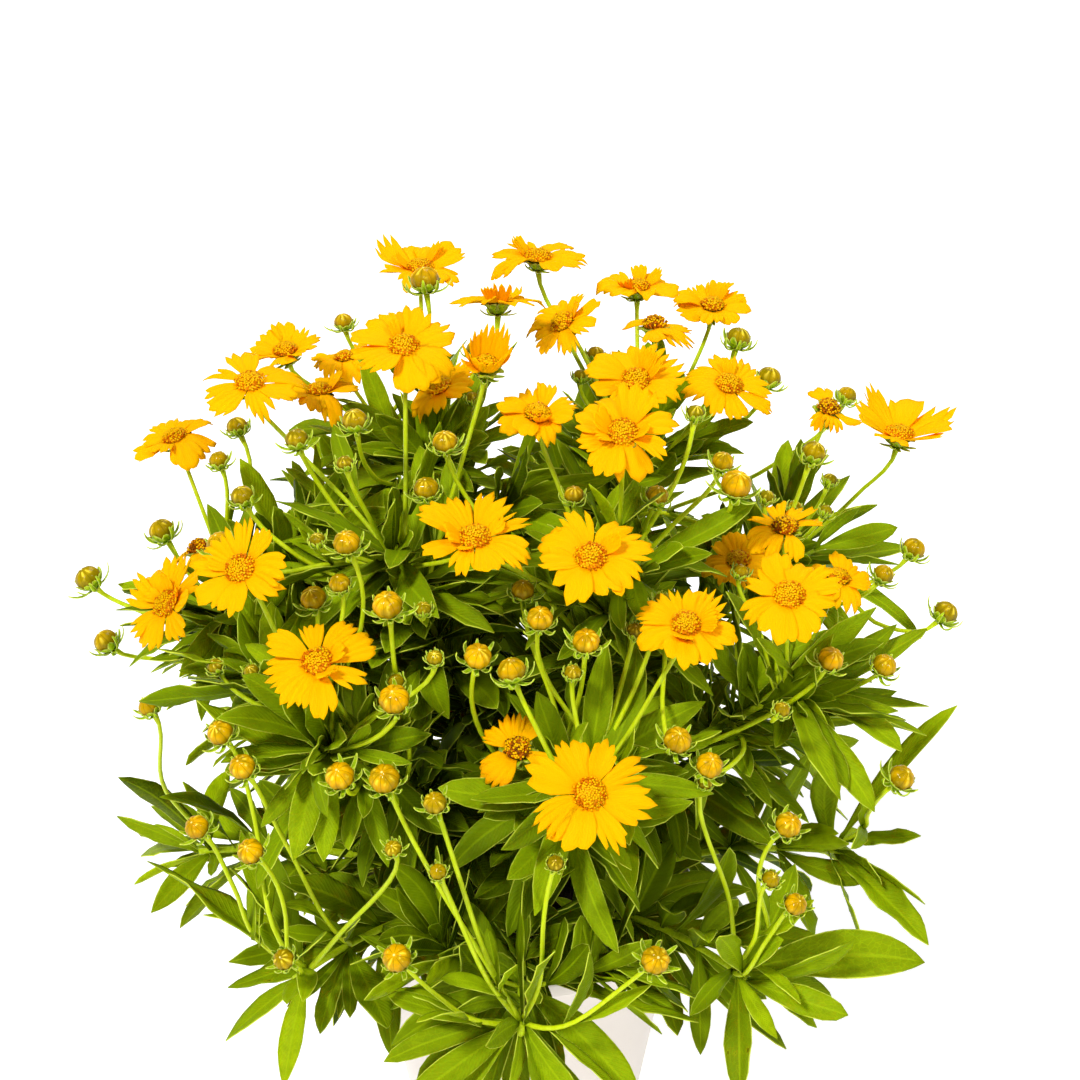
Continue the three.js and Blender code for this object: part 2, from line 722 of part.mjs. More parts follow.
// The middle of a blade and half its width there, on the straight stretches between its sections.
function bladeAt(leaf, t) {
  const stops = [[0, LEAF.rootShare], ...leaf.sections, [1, 0]];
  const next = Math.max(1, stops.findIndex(([place]) => place >= t));
  const [[from, narrow], [to, wide]] = [stops[next - 1], stops[next]];
  const part = (t - from) / (to - from);
  const middle = leaf.at(from).lerp(leaf.at(to), part);
  return { middle, half: (mix(narrow, wide, part) * leaf.width) / 2 };
}

// Balls over the whole blade.
function leafBalls(leaf) {
  const rows = Math.ceil(leaf.length / LEAF.ballStep);
  return evenPlaces(rows).flatMap((t) => {
    const { middle, half } = bladeAt(leaf, t);
    const reach = Math.max(0, half - 1);
    const across = leaf.across(t);
    const columns = Math.ceil((2 * reach) / LEAF.ballStep);
    return Array.from({ length: columns + 1 }, (_, k) => {
      const share = columns === 0 ? 0 : (2 * k) / columns - 1;
      const at = middle.clone().addScaledVector(across, share * reach);
      return { at, radius: LEAF.ballRadius, free: t * leaf.length < CLEARANCE.root };
    });
  });
}

// A three-cornered section of a blade, flat above and keeled below.
function bladeSection(leaf, t, share) {
  const centre = leaf.at(t);
  const across = leaf.across(t);
  const below = across.clone().cross(leaf.along(t));
  return [
    centre.clone().addScaledVector(across, (share * leaf.width) / 2),
    centre.clone().addScaledVector(across, (-share * leaf.width) / 2),
    centre.clone().addScaledVector(below, LEAF.keel),
  ];
}

function growLeaf(surface, leaf) {
  leaf.site.used = true;
  let lastRing = leaf.site.corners;
  for (const [t, share] of leaf.sections) {
    const ring = surface.ring(bladeSection(leaf, t, share));
    surface.band(lastRing, ring);
    lastRing = ring;
  }
  surface.fan(surface.point(leaf.at(1)), lastRing);
}

// Whether a plane through the edge that two sites share parts what grows from them.
function isParted(surface, site, ring, neighbour) {
  const shared = site.corners.filter((corner) => neighbour.corners.includes(corner));
  if (!neighbour.firstRing || shared.length < 2) return true;
  const [from, to] = shared.map((corner) => surface.place(corner));
  const edge = to.clone().sub(from).normalize();
  const outward = site.outward.clone().add(neighbour.outward);
  const forward = outward.normalize();
  const aside = site.centre.clone().sub(neighbour.centre)
    .projectOnPlane(edge)
    .projectOnPlane(forward)
    .normalize();
  const turn = (p) => {
    const arm = p.clone().sub(from);
    return Math.atan2(arm.dot(aside), arm.dot(forward));
  };
  return Math.min(...ring.map(turn)) > Math.max(...neighbour.firstRing.map(turn)) + LEAF.leastParting;
}

// Leaves stay out of the pot's wall and lip.
function clearsPot(balls) {
  const room = CLEARANCE.pot;
  return balls.every(({ at }) => (
    at.z > POT.height + room || Math.hypot(at.x, at.y) > POT.lipRadius + room
  ));
}

function keepLeaf(stem, leaf) {
  const balls = leafBalls(leaf);
  if (!looksAt(leaf.site, leaf.at(leaf.sections[0][0]), STEM.steepness)) return false;
  const section = bladeSection(leaf, ...leaf.sections[0]);
  if (!stem.sites.every((site) => isParted(stem.surface, leaf.site, section, site))) return false;
  if (!isClear(stem.name, balls) || !clearsPot(balls)) return false;
  take(stem.name, balls);
  growLeaf(stem.surface, leaf);
  return true;
}

// A leaf with its tip in a given place, from the first stem and joint with a clear way to it.
function growShowLeaf(stems, [x, y, z, width]) {
  const tip = vec(x, y, z);
  for (const stem of stemsTowards(stems, tip).slice(0, SHOW.stemsTried)) {
    for (const site of sitesFacing(stem, tip, 'leaf')) {
      for (const sag of SHOW.sags) {
        const span = tip.clone().sub(site.centre);
        const length = span.length();
        const direction = span.clone().addScaledVector(UP, sag * length).divideScalar(length);
        const leaf = layOutLeaf({ form: 'large', site, direction, length, width, sag, roll: 0 });
        if (keepLeaf(stem, leaf)) return;
      }
    }
  }
  throw new Error(`no clear way for a leaf to ${tip.toArray()}`);
}

// The leaves of every joint of a stem, each pair turned a quarter from the last.
function growLeaves(stem, index, { seed, form, faces, length, width, spread }) {
  const draw = seeded(seed + index);
  const sites = stem.sites.filter((site) => site.kind === 'leaf' && faces.includes(site.face));
  for (const site of sites) {
    for (let attempt = 0; attempt < FAN.tries && !site.used; attempt += 1) {
      const turn = mix(-FAN.turn, FAN.turn, draw());
      const angle = mix(...spread, draw());
      const radial = site.outward.clone().applyAxisAngle(site.axis, turn);
      const direction = between(site.axis, radial, angle);
      const shrink = 1 - FAN.shrink * attempt;
      keepLeaf(stem, layOutLeaf({
        form,
        site,
        direction,
        length: mix(...length, draw()) * shrink,
        width: mix(...width, draw()) * shrink,
        sag: mix(...FAN.sag, draw()),
        roll: mix(-FAN.roll, FAN.roll, draw()),
      }));
    }
  }
}

// ---------------------------------------------------------------- assembly

function addMesh(group, name, geometry, colour, roughness) {
  const material = new THREE.MeshStandardMaterial({ color: colour, roughness, metalness: 0 });
  const mesh = new THREE.Mesh(geometry, material);
  mesh.name = name;
  group.add(mesh);
}

function growPlant() {
  const stems = STEM_RINGS.flatMap((ring) => (
    Array.from({ length: ring.count }, (_, i) => layOutStem(ring, i))
  ));
  stems.forEach((stem, i) => {
    stem.name = `leafy_stem_${String(i + 1).padStart(2, '0')}`;
    take(stem.name, ballsAlong(stem.frames.map((frame) => frame.at), stemRadius(1), 0));
  });
  const blooms = BLOOMS.map(layOutBloom);
  blooms.forEach((bloom) => take(bloom.name, bloomBalls(bloom)));
  const buds = BUDS.map(([x, y, z, radius], i) => {
    const centre = vec(x, y, z);
    take(`bud_${i}`, [{ at: centre, radius: radius * BUD.room }]);
    return { centre, radius, axis: budAxis(centre), name: `bud_${i}` };
  });
  blooms.forEach((bloom) => {
    const base = around(bloom.frame, 0, 0, DISC.underside - CUP.depth + CUP.crownDrop - GAP);
    growCup(growStalk(stems, base, bloom.frame.axis, bloom.name));
  });
  buds.forEach((bud) => {
    const base = bud.centre.clone().addScaledVector(bud.axis, -bud.radius);
    growBud(growStalk(stems, base, bud.axis, bud.name), bud.radius);
  });
  SHOW_LEAVES.forEach((row) => growShowLeaf(stems, row));
  FOLIAGE.forEach((kind) => stems.forEach((stem, i) => growLeaves(stem, i, kind)));
  stems.forEach(closeSites);
  return { stems, blooms };
}

const group = new THREE.Group();
group.name = 'coreopsis';
const { stems, blooms } = growPlant();
addMesh(group, 'pot', makePot(), COLOUR.pot, 0.45);
addMesh(group, 'soil', makeSoil(stems), COLOUR.soil, 0.95);
blooms.forEach((bloom) => addMesh(group, bloom.name, bloomGeometry(bloom), COLOUR.ray, 0.6));
stems.forEach((stem) => {
  addMesh(group, stem.name, stem.surface.geometry(), COLOUR.leaf, 0.55);
});

export default group;
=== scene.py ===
"""Coreopsis in a pot: toothed golden blooms, glossy buds and a dense mound of pale-edged leaves.

Every leaf, stalk, bud and bloom follows the faceted one of the frame, whose mesh tells where it lies.
Lengths are in metres, angles in radians and noise scales in waves per metre, where no other unit is
named. +Z is up and the plant's front looks along -Y.
"""

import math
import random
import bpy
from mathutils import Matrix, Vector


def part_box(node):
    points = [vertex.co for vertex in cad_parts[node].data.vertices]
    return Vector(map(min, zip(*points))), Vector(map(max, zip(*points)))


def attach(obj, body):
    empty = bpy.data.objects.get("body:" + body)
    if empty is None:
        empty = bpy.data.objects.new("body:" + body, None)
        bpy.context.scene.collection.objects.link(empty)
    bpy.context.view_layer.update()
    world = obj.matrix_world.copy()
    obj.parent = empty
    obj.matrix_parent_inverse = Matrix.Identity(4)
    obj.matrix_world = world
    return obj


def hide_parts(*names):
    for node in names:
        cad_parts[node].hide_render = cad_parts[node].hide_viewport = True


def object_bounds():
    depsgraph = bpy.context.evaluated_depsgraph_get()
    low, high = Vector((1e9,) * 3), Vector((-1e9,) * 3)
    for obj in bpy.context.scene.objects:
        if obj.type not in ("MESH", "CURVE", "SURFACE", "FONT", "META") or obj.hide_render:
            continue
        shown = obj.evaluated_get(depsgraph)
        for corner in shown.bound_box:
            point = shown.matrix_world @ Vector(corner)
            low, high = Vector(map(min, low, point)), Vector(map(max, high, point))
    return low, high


bl_info = {
    "name": "Coreopsis in a pot",
    "version": (1, 0, 0),
    "blender": (4, 5, 0),
    "location": "View3D > Sidebar > Coreopsis",
    "description": "Builds a potted coreopsis in full bloom round its frame",
    "category": "Add Mesh",
}

import bpy
import numpy as np
from mathutils.bvhtree import BVHTree

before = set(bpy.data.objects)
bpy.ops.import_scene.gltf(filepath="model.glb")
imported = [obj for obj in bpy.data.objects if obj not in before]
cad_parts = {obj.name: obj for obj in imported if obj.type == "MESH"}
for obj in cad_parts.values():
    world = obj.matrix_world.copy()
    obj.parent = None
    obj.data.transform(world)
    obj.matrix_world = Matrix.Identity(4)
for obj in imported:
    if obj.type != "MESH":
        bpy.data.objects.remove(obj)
CAD_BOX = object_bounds()

MM = 0.001
TURN = 2 * math.pi
UP = np.array([0.0, 0.0, 1.0])
BODY = "root"

STEM_NODES = sorted(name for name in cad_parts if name.startswith("leafy_stem"))
BLOOM_NODES = sorted(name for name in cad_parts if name.startswith("bloom"))

# Rings of leafy stems, as in the frame: how many, how far out they are rooted, how far they lean
# from upright in degrees, how far they reach, the heading of the first one in degrees, where leaves
# start on them, and how many leaves each one carries besides those of the frame: on its own, and for
# each of these.
STEM_RINGS = (
    {"count": 9, "root": 44 * MM, "lean": 62, "reach": 122 * MM, "heading": 270, "bare": 0.24,
     "extra": 6, "beside": 0.9},
    {"count": 7, "root": 27 * MM, "lean": 32, "reach": 198 * MM, "heading": 282, "bare": 0.36,
     "extra": 56, "beside": 1.5},
    {"count": 4, "root": 10 * MM, "lean": 15, "reach": 235 * MM, "heading": 310, "bare": 0.4,
     "extra": 70, "beside": 1.4},
)
STEM_FOOT = 117 * MM
STEM_RISE = 0.45
STEM_RADII = (2.0 * MM, 1.5 * MM)
STEM_PLACES = 25
# The places of a stem that stalks and side shoots may start from.
JOINTS = slice(12, 24)

# Stems that carry more or fewer further leaves than the rest of their ring.
FULLER = {"leafy_stem_01": 3.0, "leafy_stem_09": 0.2, "leafy_stem_15": 1.3, "leafy_stem_16": 1.3}

# Blooms past their best: darker discs and browned, ragged rays.
OLD_BLOOMS = {"bloom_14", "bloom_20", "bloom_24", "bloom_30", "bloom_32"}
# Blooms whose rays are narrow enough for the green to show between them.
AIRY_BLOOMS = {"bloom_02", "bloom_03", "bloom_06", "bloom_12", "bloom_18", "bloom_22", "bloom_28",
               "bloom_29", "bloom_31"}

# A faceted bloom: its rays, how far the rays of a full one reach, and the rim and height of its disc.
RAYS = 8
FULL_REACH = 24 * MM
DISC = {"rim": 6.2 * MM, "crown": 4.4 * MM}

# Small buds between the large ones: x, y, z of the centre and the radius, in millimetres.
SMALL_BUDS = (
    (-157, -77, 289, 4.2), (-131, -1, 366, 4.0), (-79, 52, 407, 4.0), (-96, -161, 222, 4.2),
    (84, -38, 385, 4.4), (22, -52, 377, 4.0), (33, 58, 388, 4.0), (-21, 60, 390, 4.0),
    (-71, -62, 397, 3.3), (-33, -133, 349, 3.2), (-32, -171, 274, 3.3), (105, -120, 316, 3.2),
    (1, -70, 342, 4.6), (-73, -88, 356, 4.2), (72, -37, 407, 3.7), (-127, -80, 311, 3.4),
    (-110, -95, 318, 3.2), (101, -150, 254, 3.6), (14, -168, 276, 3.2), (-50, -160, 277, 3.4),
    (21, -125, 337, 3.3), (57, -100, 355, 3.4), (46, -105, 344, 3.2), (-39, -95, 348, 3.2),
    (138, 30, 339, 3.4), (105, -20, 358, 3.2), (26, 50, 381, 3.3), (-22, 40, 375, 3.2),
    (-84, -60, 360, 3.3), (-50, -110, 323, 3.2), (93, -45, 336, 3.3), (75, -125, 284, 3.2),
    (120, 5, 339, 3.2), (133, 0, 340, 3.0), (-129, 50, 356, 4.6), (-33, -161, 300, 4.4),
)

# Tops of the side shoots that fill the mound between the stems, in millimetres.
SHOOTS = (
    (-95, -20, 322), (-122, -22, 306), (-106, -66, 300), (-84, 14, 332), (-6, 4, 340), (-42, 30, 346),
    (-36, -118, 196), (44, -122, 194),
)
SHOOT_LEAVES = 13


# ---------------------------------------------------------------- settings

def colour_setting(name, description, default):
    return bpy.props.FloatVectorProperty(
        name=name, description=description, default=default, subtype="COLOR", size=3, min=0, max=1
    )


def length_setting(name, description, default):
    return bpy.props.FloatProperty(
        name=name, description=description, default=default, unit="LENGTH", min=0, precision=4
    )


def share_setting(name, description, default):
    return bpy.props.FloatProperty(
        name=name, description=description, default=default, subtype="FACTOR", min=0, max=3
    )


def count_setting(name, description, default, least):
    return bpy.props.IntProperty(name=name, description=description, default=default, min=least)


def power_setting(name, description, default):
    return bpy.props.FloatProperty(name=name, description=description, default=default, min=0)


class LeafSettings(bpy.types.PropertyGroup):
    breadth: share_setting("Breadth", "Width of a leaf as a share of its faceted one", 1.0)
    thickness: length_setting("Thickness", "Thickness of a blade", 0.45 * MM)
    fold: bpy.props.FloatProperty(
        name="Fold", description="How far each half is folded up", default=0.5, subtype="ANGLE"
    )
    fullness: share_setting("Fullness", "How many side leaves grow, as a share of the usual", 1.0)
    on_stalks: count_setting("Stalk leaves", "Small leaves low on each flower stalk", 3, 0)
    # These two colours paint light and shade: the upper side's is painted shade, for a leaf in the heart
    # of the plant, and the lit side's is painted light, for a leaf that light falls through.
    shade: colour_setting(
        "Upper side", "Colour of a leaf in the heart of the plant", (0.062, 0.112, 0.0006)
    )
    glow: colour_setting("Lit side", "Colour of a leaf that light falls through", (0.42, 0.55, 0.001))
    # The edge colour is partly fine hairs and partly a painted highlight along the rim.
    edge: colour_setting("Edge", "Colour of the pale rim of fine hairs", (0.7, 0.8, 0.08))


class StalkSettings(bpy.types.PropertyGroup):
    radius: length_setting("Radius", "Radius of a flower stalk", 0.98 * MM)
    ribs: count_setting("Ribs", "Ridges round a stalk", 6, 3)
    green: colour_setting("Stalk", "Colour of the flower stalks", (0.57, 0.69, 0.002))
    bract: colour_setting("Bracts", "Colour of the bracts round buds and blooms", (0.44, 0.61, 0.005))


class BloomSettings(bpy.types.PropertyGroup):
    overlap: share_setting("Overlap", "Width of a ray as a share of its room round the disc", 1.14)
    thickness: length_setting("Thickness", "Thickness of a ray", 0.4 * MM)
    teeth: count_setting("Teeth", "Teeth at a ray's tip", 5, 3)
    notch: share_setting("Notch", "Depth of the notches between the teeth", 0.23)
    florets: count_setting("Florets", "Florets that cover a disc", 120, 20)
    gold: colour_setting("Rays", "Colour of the rays", (1.0, 0.437, 0.0))
    amber: colour_setting("Ray feet", "Colour of the rays near the disc", (1.0, 0.39, 0.0))
    floret: colour_setting("Florets", "Colour of the florets", (1.0, 0.56, 0.0))
    brown: colour_setting("Anthers", "Colour of old florets and anthers", (0.17, 0.055, 0.002))


class BudSettings(bpy.types.PropertyGroup):
    lobes: count_setting("Lobes", "Folded rays that meet at the top", 8, 3)
    ripe: colour_setting("Ripe", "Colour of a bud about to open", (0.9, 0.46, 0.0))
    olive: colour_setting("Olive", "Colour of a bud's seams and shaded sides", (0.14, 0.125, 0.0))
    green: colour_setting("Green", "Colour of a young bud", (0.27, 0.22, 0.0))


class PotSettings(bpy.types.PropertyGroup):
    lip: length_setting("Lip", "Height of the rolled lip", 9 * MM)
    sides: count_setting("Sides", "Sides of the round pot", 120, 36)
    plastic: colour_setting("Plastic", "Colour of the pot", (0.82, 0.74, 0.68))
    peat: colour_setting("Soil", "Colour of the potting soil", (0.03, 0.016, 0.008))
    crumbs: count_setting("Crumbs", "Crumbs of bark on the soil", 900, 0)


class StageSettings(bpy.types.PropertyGroup):
    floor: colour_setting("Floor", "Colour of the floor", (0.94, 0.94, 0.94))
    glow: power_setting("Floor glow", "Light that comes up through the pale floor", 0.34)
    key: power_setting("Key light", "Strength of the soft light from the left", 2.7)
    fill: power_setting("Fill light", "Strength of the soft light from the right", 1.1)
    back: power_setting("Back light", "Strength of the soft light from behind", 0.95)
    sky: power_setting("Sky", "Strength of the pale surroundings", 0.27)


class CoreopsisSettings(bpy.types.PropertyGroup):
    leaf: bpy.props.PointerProperty(type=LeafSettings)
    stalk: bpy.props.PointerProperty(type=StalkSettings)
    bloom: bpy.props.PointerProperty(type=BloomSettings)
    bud: bpy.props.PointerProperty(type=BudSettings)
    pot: bpy.props.PointerProperty(type=PotSettings)
    stage: bpy.props.PointerProperty(type=StageSettings)


# ---------------------------------------------------------------- vectors, curves and chance

def unit(vectors):
    """Vectors at unit length."""
    lengths = np.linalg.norm(vectors, axis=-1, keepdims=True)
    return vectors / np.maximum(lengths, 1e-12)


def square_to(vectors, axes):
    """The parts of vectors that are square to axes, at unit length."""
    return unit(vectors - axes * np.sum(vectors * axes, axis=-1, keepdims=True))


def turned(vector, axis, angle):
    """A vector turned about a unit axis."""
    along = axis * (vector @ axis)
    return along + (vector - along) * math.cos(angle) + np.cross(axis, vector) * math.sin(angle)


def mix_points(a, b, part):
    """The place at a share of the way from a to b."""
    return a + (b - a) * part


def smooth(low, high, values):
    """0 below low, 1 above high, and a smooth way between them."""
    part = np.clip((values - low) / (high - low), 0, 1)
    return part * part * (3 - 2 * part)


def smooth_path(points, places, last_direction=None):
    """Places from 0 to 1 along a smooth curve through points, and its directions there."""
    points = np.asarray(points)
    stops = np.concatenate([[0], np.cumsum(np.linalg.norm(np.diff(points, axis=0), axis=1))])
    stops /= stops[-1]
    slopes = np.gradient(points, stops, axis=0, edge_order=min(2, len(points) - 1))
    if last_direction is not None:
        slopes[-1] = last_direction * np.linalg.norm(slopes[-1])
    span = np.clip(np.searchsorted(stops, places, side="right") - 1, 0, len(points) - 2)
    width = (stops[span + 1] - stops[span])[:, None]
    t = (places - stops[span])[:, None] / width
    a, b, da, db = points[span], points[span + 1], slopes[span] * width, slopes[span + 1] * width
    at = (
        (2 * t**3 - 3 * t**2 + 1) * a
        + (t**3 - 2 * t**2 + t) * da
        + (3 * t**2 - 2 * t**3) * b
        + (t**3 - t**2) * db
    )
    along = (6 * t**2 - 6 * t) * (a - b) + (3 * t**2 - 4 * t + 1) * da + (3 * t**2 - 2 * t) * db
    return at, unit(along)


def steady_sides(along, first_side):
    """A side direction for every place of a path, with as little twist as can be."""
    sides = []
    side = first_side
    for direction in along:
        side = square_to(side, direction)
        sides.append(side)
    return np.array(sides)


def drawn(draw, ranges):
    """A chance value for every name: evenly between two limits, or most often near a third one."""
    return {
        name: draw.triangular(*limits) if len(limits) == 3 else draw.uniform(*limits)
        for name, limits in ranges.items()
    }


# ---------------------------------------------------------------- meshes in the making

class Skin:
    """Faces of many small forms, gathered into one mesh with a few values for every corner."""

    def __init__(self, *values):
        self.points = []
        self.faces = []
        self.values = {name: [] for name in values}
        self.size = 0

    def add(self, points, faces, **values):
        points = np.asarray(points, float).reshape(-1, 3)
        self.faces.append(np.asarray(faces, int) + self.size)
        self.points.append(points)
        self.size += len(points)
        for name, gathered in self.values.items():
            given = np.asarray(values.get(name, 0.0), float)
            gathered.append(np.broadcast_to(given.reshape(-1), len(points)))

    def mesh(self, name):
        mesh = bpy.data.meshes.new(name)
        faces = [face for block in self.faces for face in block.tolist()]
        mesh.from_pydata(np.concatenate(self.points).tolist(), [], faces)
        for value, gathered in self.values.items():
            layer = mesh.attributes.new(value, "FLOAT", "POINT")
            layer.data.foreach_set("value", np.concatenate(gathered).astype(np.float32))
        mesh.polygons.foreach_set("use_smooth", np.ones(len(mesh.polygons), bool))
        mesh.update()
        return mesh

    def piece(self, name, material, slot, node):
        """The finished piece, which rides on the part and stands for a node. None of an empty skin."""
        if not self.size:
            return
        obj = bpy.data.objects.new(name, self.mesh(name))
        bpy.context.scene.collection.objects.link(obj)
        obj.data.materials.append(material)
        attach(obj, BODY)
        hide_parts(node)


def grid_faces(rows, columns, closed=False):
    """Four-cornered faces between the rows of a grid, which may close on itself sideways."""
    across = columns if closed else columns - 1
    row, column = np.meshgrid(np.arange(rows - 1), np.arange(across), indexing="ij")
    next_column = (column + 1) % columns
    corners = [
        row * columns + column,
        row * columns + next_column,
        (row + 1) * columns + next_column,
        (row + 1) * columns + column,
    ]
    return np.stack(corners, axis=-1).reshape(-1, 4)


def fan(loop, middle):
    """Triangles between a closed loop of corners and one more corner."""
    return np.stack([loop, np.roll(loop, -1), np.full(len(loop), middle)], axis=-1)


def add_turned(skin, rings, ends, **values):
    """A closed form of rings of places, with fans from its first and last ring to two end places."""
    rows, sides = rings.shape[:2]
    start = skin.size
    points = np.concatenate([rings.reshape(-1, 3), ends])
    skin.add(points, grid_faces(rows, sides, closed=True), **values)
    count = rows * sides
    ring = np.arange(sides)
    skin.faces.append(fan(ring, count)[:, [1, 0, 2]] + start)
    skin.faces.append(fan(count - sides + ring, count + 1) + start)


def ring_places(radii, heights, sides):
    """Level rings of places round the upright axis."""
    around = np.arange(sides) / sides * TURN
    radii, heights = (np.asarray(values)[:, None] for values in (radii, heights))
    level = np.repeat(heights, sides, axis=1)
    return np.stack([radii * np.cos(around), radii * np.sin(around), level], axis=-1)


def blade(skin, grid, thickness, **values):
    """A thin closed blade on a grid of places, with an upper and a lower skin and a rim."""
    rows, columns = grid.shape[:2]
    along = np.gradient(grid, axis=0)
    across = np.gradient(grid, axis=1)
    normals = unit(np.cross(across, along))
    points = np.concatenate([grid + normals * thickness / 2, grid - normals * thickness / 2])
    size = rows * columns
    upper = grid_faces(rows, columns)
    lower = upper[:, ::-1] + size
    index = np.arange(size).reshape(rows, columns)
    rim = np.concatenate([index[0, :-1], index[:-1, -1], index[-1, :0:-1], index[:0:-1, 0]])
    following = np.roll(rim, -1)
    walls = np.stack([following, rim, rim + size, following + size], axis=-1)
    both = {name: np.tile(np.broadcast_to(value, (rows, columns)).reshape(-1), 2)
            for name, value in values.items()}
    both["under"] = np.repeat([0.0, 1.0], size)
    skin.add(points.reshape(-1, 3), np.concatenate([upper, lower, walls]), **both)


TUBE_SIDES = 12


def tube(skin, at, along, radii, first_side, ribs, grooves, **values):
    """A closed tube round a path, with ridges along it and grooves of this depth between them."""
    side = steady_sides(along, first_side)
    normal = np.cross(along, side)
    angle = np.arange(TUBE_SIDES) / TUBE_SIDES * TURN
    radius = np.asarray(radii)[:, None] * (1 + grooves * np.cos(angle * ribs))
    rings = (
        at[:, None]
        + side[:, None] * (radius * np.cos(angle))[..., None]
        + normal[:, None] * (radius * np.sin(angle))[..., None]
    )
    add_turned(skin, rings, [at[0], at[-1]], **values)


# ---------------------------------------------------------------- reading the frame

# How many corners the rings below the single top corner of a bud and of a cup have.
BUD_RINGS = [6, 6, 12, 3, 3, 3, 3]
CUP_RINGS = [12, 3, 3, 3, 3]


class Solid:
    """A faceted solid of the frame: its corners, and which of them an edge joins."""

    def __init__(self, node):
        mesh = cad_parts[node].data
        places = np.array([corner.co for corner in mesh.vertices])
        rounded = np.round(places / (0.001 * MM)).astype(int)
        _, first, index = np.unique(rounded, axis=0, return_index=True, return_inverse=True)
        index = index.reshape(-1)
        self.places = places[first]
        self.joined = [set() for _ in first]
        for polygon in mesh.polygons:
            corners = index[list(polygon.vertices)]
            for a, b in zip(corners, np.roll(corners, -1)):
                self.joined[a].add(b)
                self.joined[b].add(a)

    def rings_below(self, top, count):
        """Rings of corners that follow each other down from a single top corner."""
        above, ring = set(), {top}
        rings = []
        for _ in range(count):
            below = set().union(*(self.joined[corner] for corner in ring)) - ring - above
            above, ring = ring, below
            rings.append(sorted(below))
        return rings

    def centre(self, ring):
        return self.places[list(ring)].mean(axis=0)


def read_section(solid, ring):
    """The middle, the upward direction and the width of a keeled blade at one of its sections."""
    corners = solid.places[ring]
    pairs = ((0, 1, 2), (1, 2, 0), (2, 0, 1))
    a, b, keel = max(pairs, key=lambda pair: np.linalg.norm(corners[pair[0]] - corners[pair[1]]))
    middle = (corners[a] + corners[b]) / 2
    return middle, unit(middle - corners[keel]), np.linalg.norm(corners[a] - corners[b])


def read_leaves(solid):
    """The blades of a leafy stem. Each one ends in a corner that joins only three others."""
    leaves = []
    for top, joined in enumerate(solid.joined):
        if len(joined) != 3:
            continue
        *rings, foot = solid.rings_below(top, 3)
        if len(foot) != 3:
            rings, foot = rings[:1], rings[1]
        sections = [read_section(solid, ring) for ring in rings][::-1]
        leaves.append({
            "points": [solid.centre(foot), *(section[0] for section in sections), solid.places[top]],
            "up": sections[0][1],
            "width": max(section[2] for section in sections),
        })
    return leaves


def read_heads(solid, pattern):
    """The buds or cups of a leafy stem, found by the sizes of the rings below their tops."""
    heads = []
    for top, joined in enumerate(solid.joined):
        if len(joined) != pattern[0]:
            continue
        rings = solid.rings_below(top, len(pattern))
        if [len(ring) for ring in rings] != pattern:
            continue
        path = [solid.centre(ring) for ring in rings[:-5:-1]]
        waist = solid.places[rings[1]]
        heads.append({
            "path": path,
            "axis": unit(solid.places[top] - path[-1]),
            "radius": np.linalg.norm(waist[0] - waist.mean(axis=0)),
        })
    return heads


def find_disc(solid):
    """The top of a bloom's disc, and the even ring of corners round it."""
    for top, joined in enumerate(solid.joined):
        ring = solid.places[sorted(joined)]
        reach = np.linalg.norm(ring - solid.places[top], axis=1)
        if len(joined) == RAYS and np.ptp(reach) < 0.01 * MM:
            return solid.places[top], ring
    raise ValueError("a bloom has no disc")


def read_ray(local, number):
    """A ray's heading, and how far out and up its middle and its tip are. None where it has fallen."""
    step = TURN / RAYS
    middle = (number + 0.5) * step
    radius = np.hypot(local[:, 0], local[:, 1])
    angle = np.arctan2(local[:, 1], local[:, 0])
    apart = np.abs((angle - middle + math.pi) % TURN - math.pi)
    inside = (apart < step * 0.05) & (radius > DISC["rim"])
    if inside.sum() < 3:
        return None
    order = np.flatnonzero(inside)[np.argsort(radius[inside])]
    half_way, tip = (
        np.array([np.hypot(place[0], place[1]), place[2]])
        for place in (local[order[:2]].mean(axis=0), local[order[-1]])
    )
    return {"angle": middle, "half_way": half_way, "tip": tip}


def read_bloom(node):
    """The disc's frame and the middle line of every ray of a bloom."""
    solid = Solid(node)
    top, ring = find_disc(solid)
    face = ring.mean(axis=0)
    axis = unit(top - face)
    side = unit(ring[0] - face)
    normal = np.cross(axis, side)
    origin = top - axis * DISC["crown"]
    local = (solid.places - origin) @ np.stack([side, normal, axis], axis=1)
    rays = [ray for ray in (read_ray(local, number) for number in range(RAYS)) if ray]
    reach = np.mean([np.linalg.norm(ray["tip"]) for ray in rays])
    small = 0.9 * np.clip(reach / FULL_REACH, 0.74, 1)
    return {"node": node, "origin": origin, "side": side, "normal": normal, "axis": axis, "rays": rays,
            "disc": DISC["rim"] * small}


# ---------------------------------------------------------------- materials

# Colours of the finishes, besides those of the settings.
LEAF_TINTS = {
    "fresh": (0.2, 0.31, 0.001),
    "deep": (0.024, 0.05, 0.0004),
    "side veins": (0.22, 0.33, 0.004),
    "underside": (0.22, 0.32, 0.003),
    "midrib": (0.34, 0.47, 0.004),
    "net": (0.36, 0.5, 0.004),
}
STALK_TINTS = {"dark": (0.28, 0.4, 0.001), "pale streaks": (0.72, 0.82, 0.06)}
BRACT_TINTS = {
    "clouds": (0.17, 0.28, 0.002),
    "pale rim": (0.8, 0.88, 0.16),
    "dry rim": (0.13, 0.09, 0.01),
    "dry tip": (0.22, 0.13, 0.02),
}
# The burnt colour of old rays. The low orange is painted shade at the florets' feet.
BLOOM_TINTS = {"burnt": (0.75, 0.2, 0.0), "low": (1.0, 0.36, 0.0)}
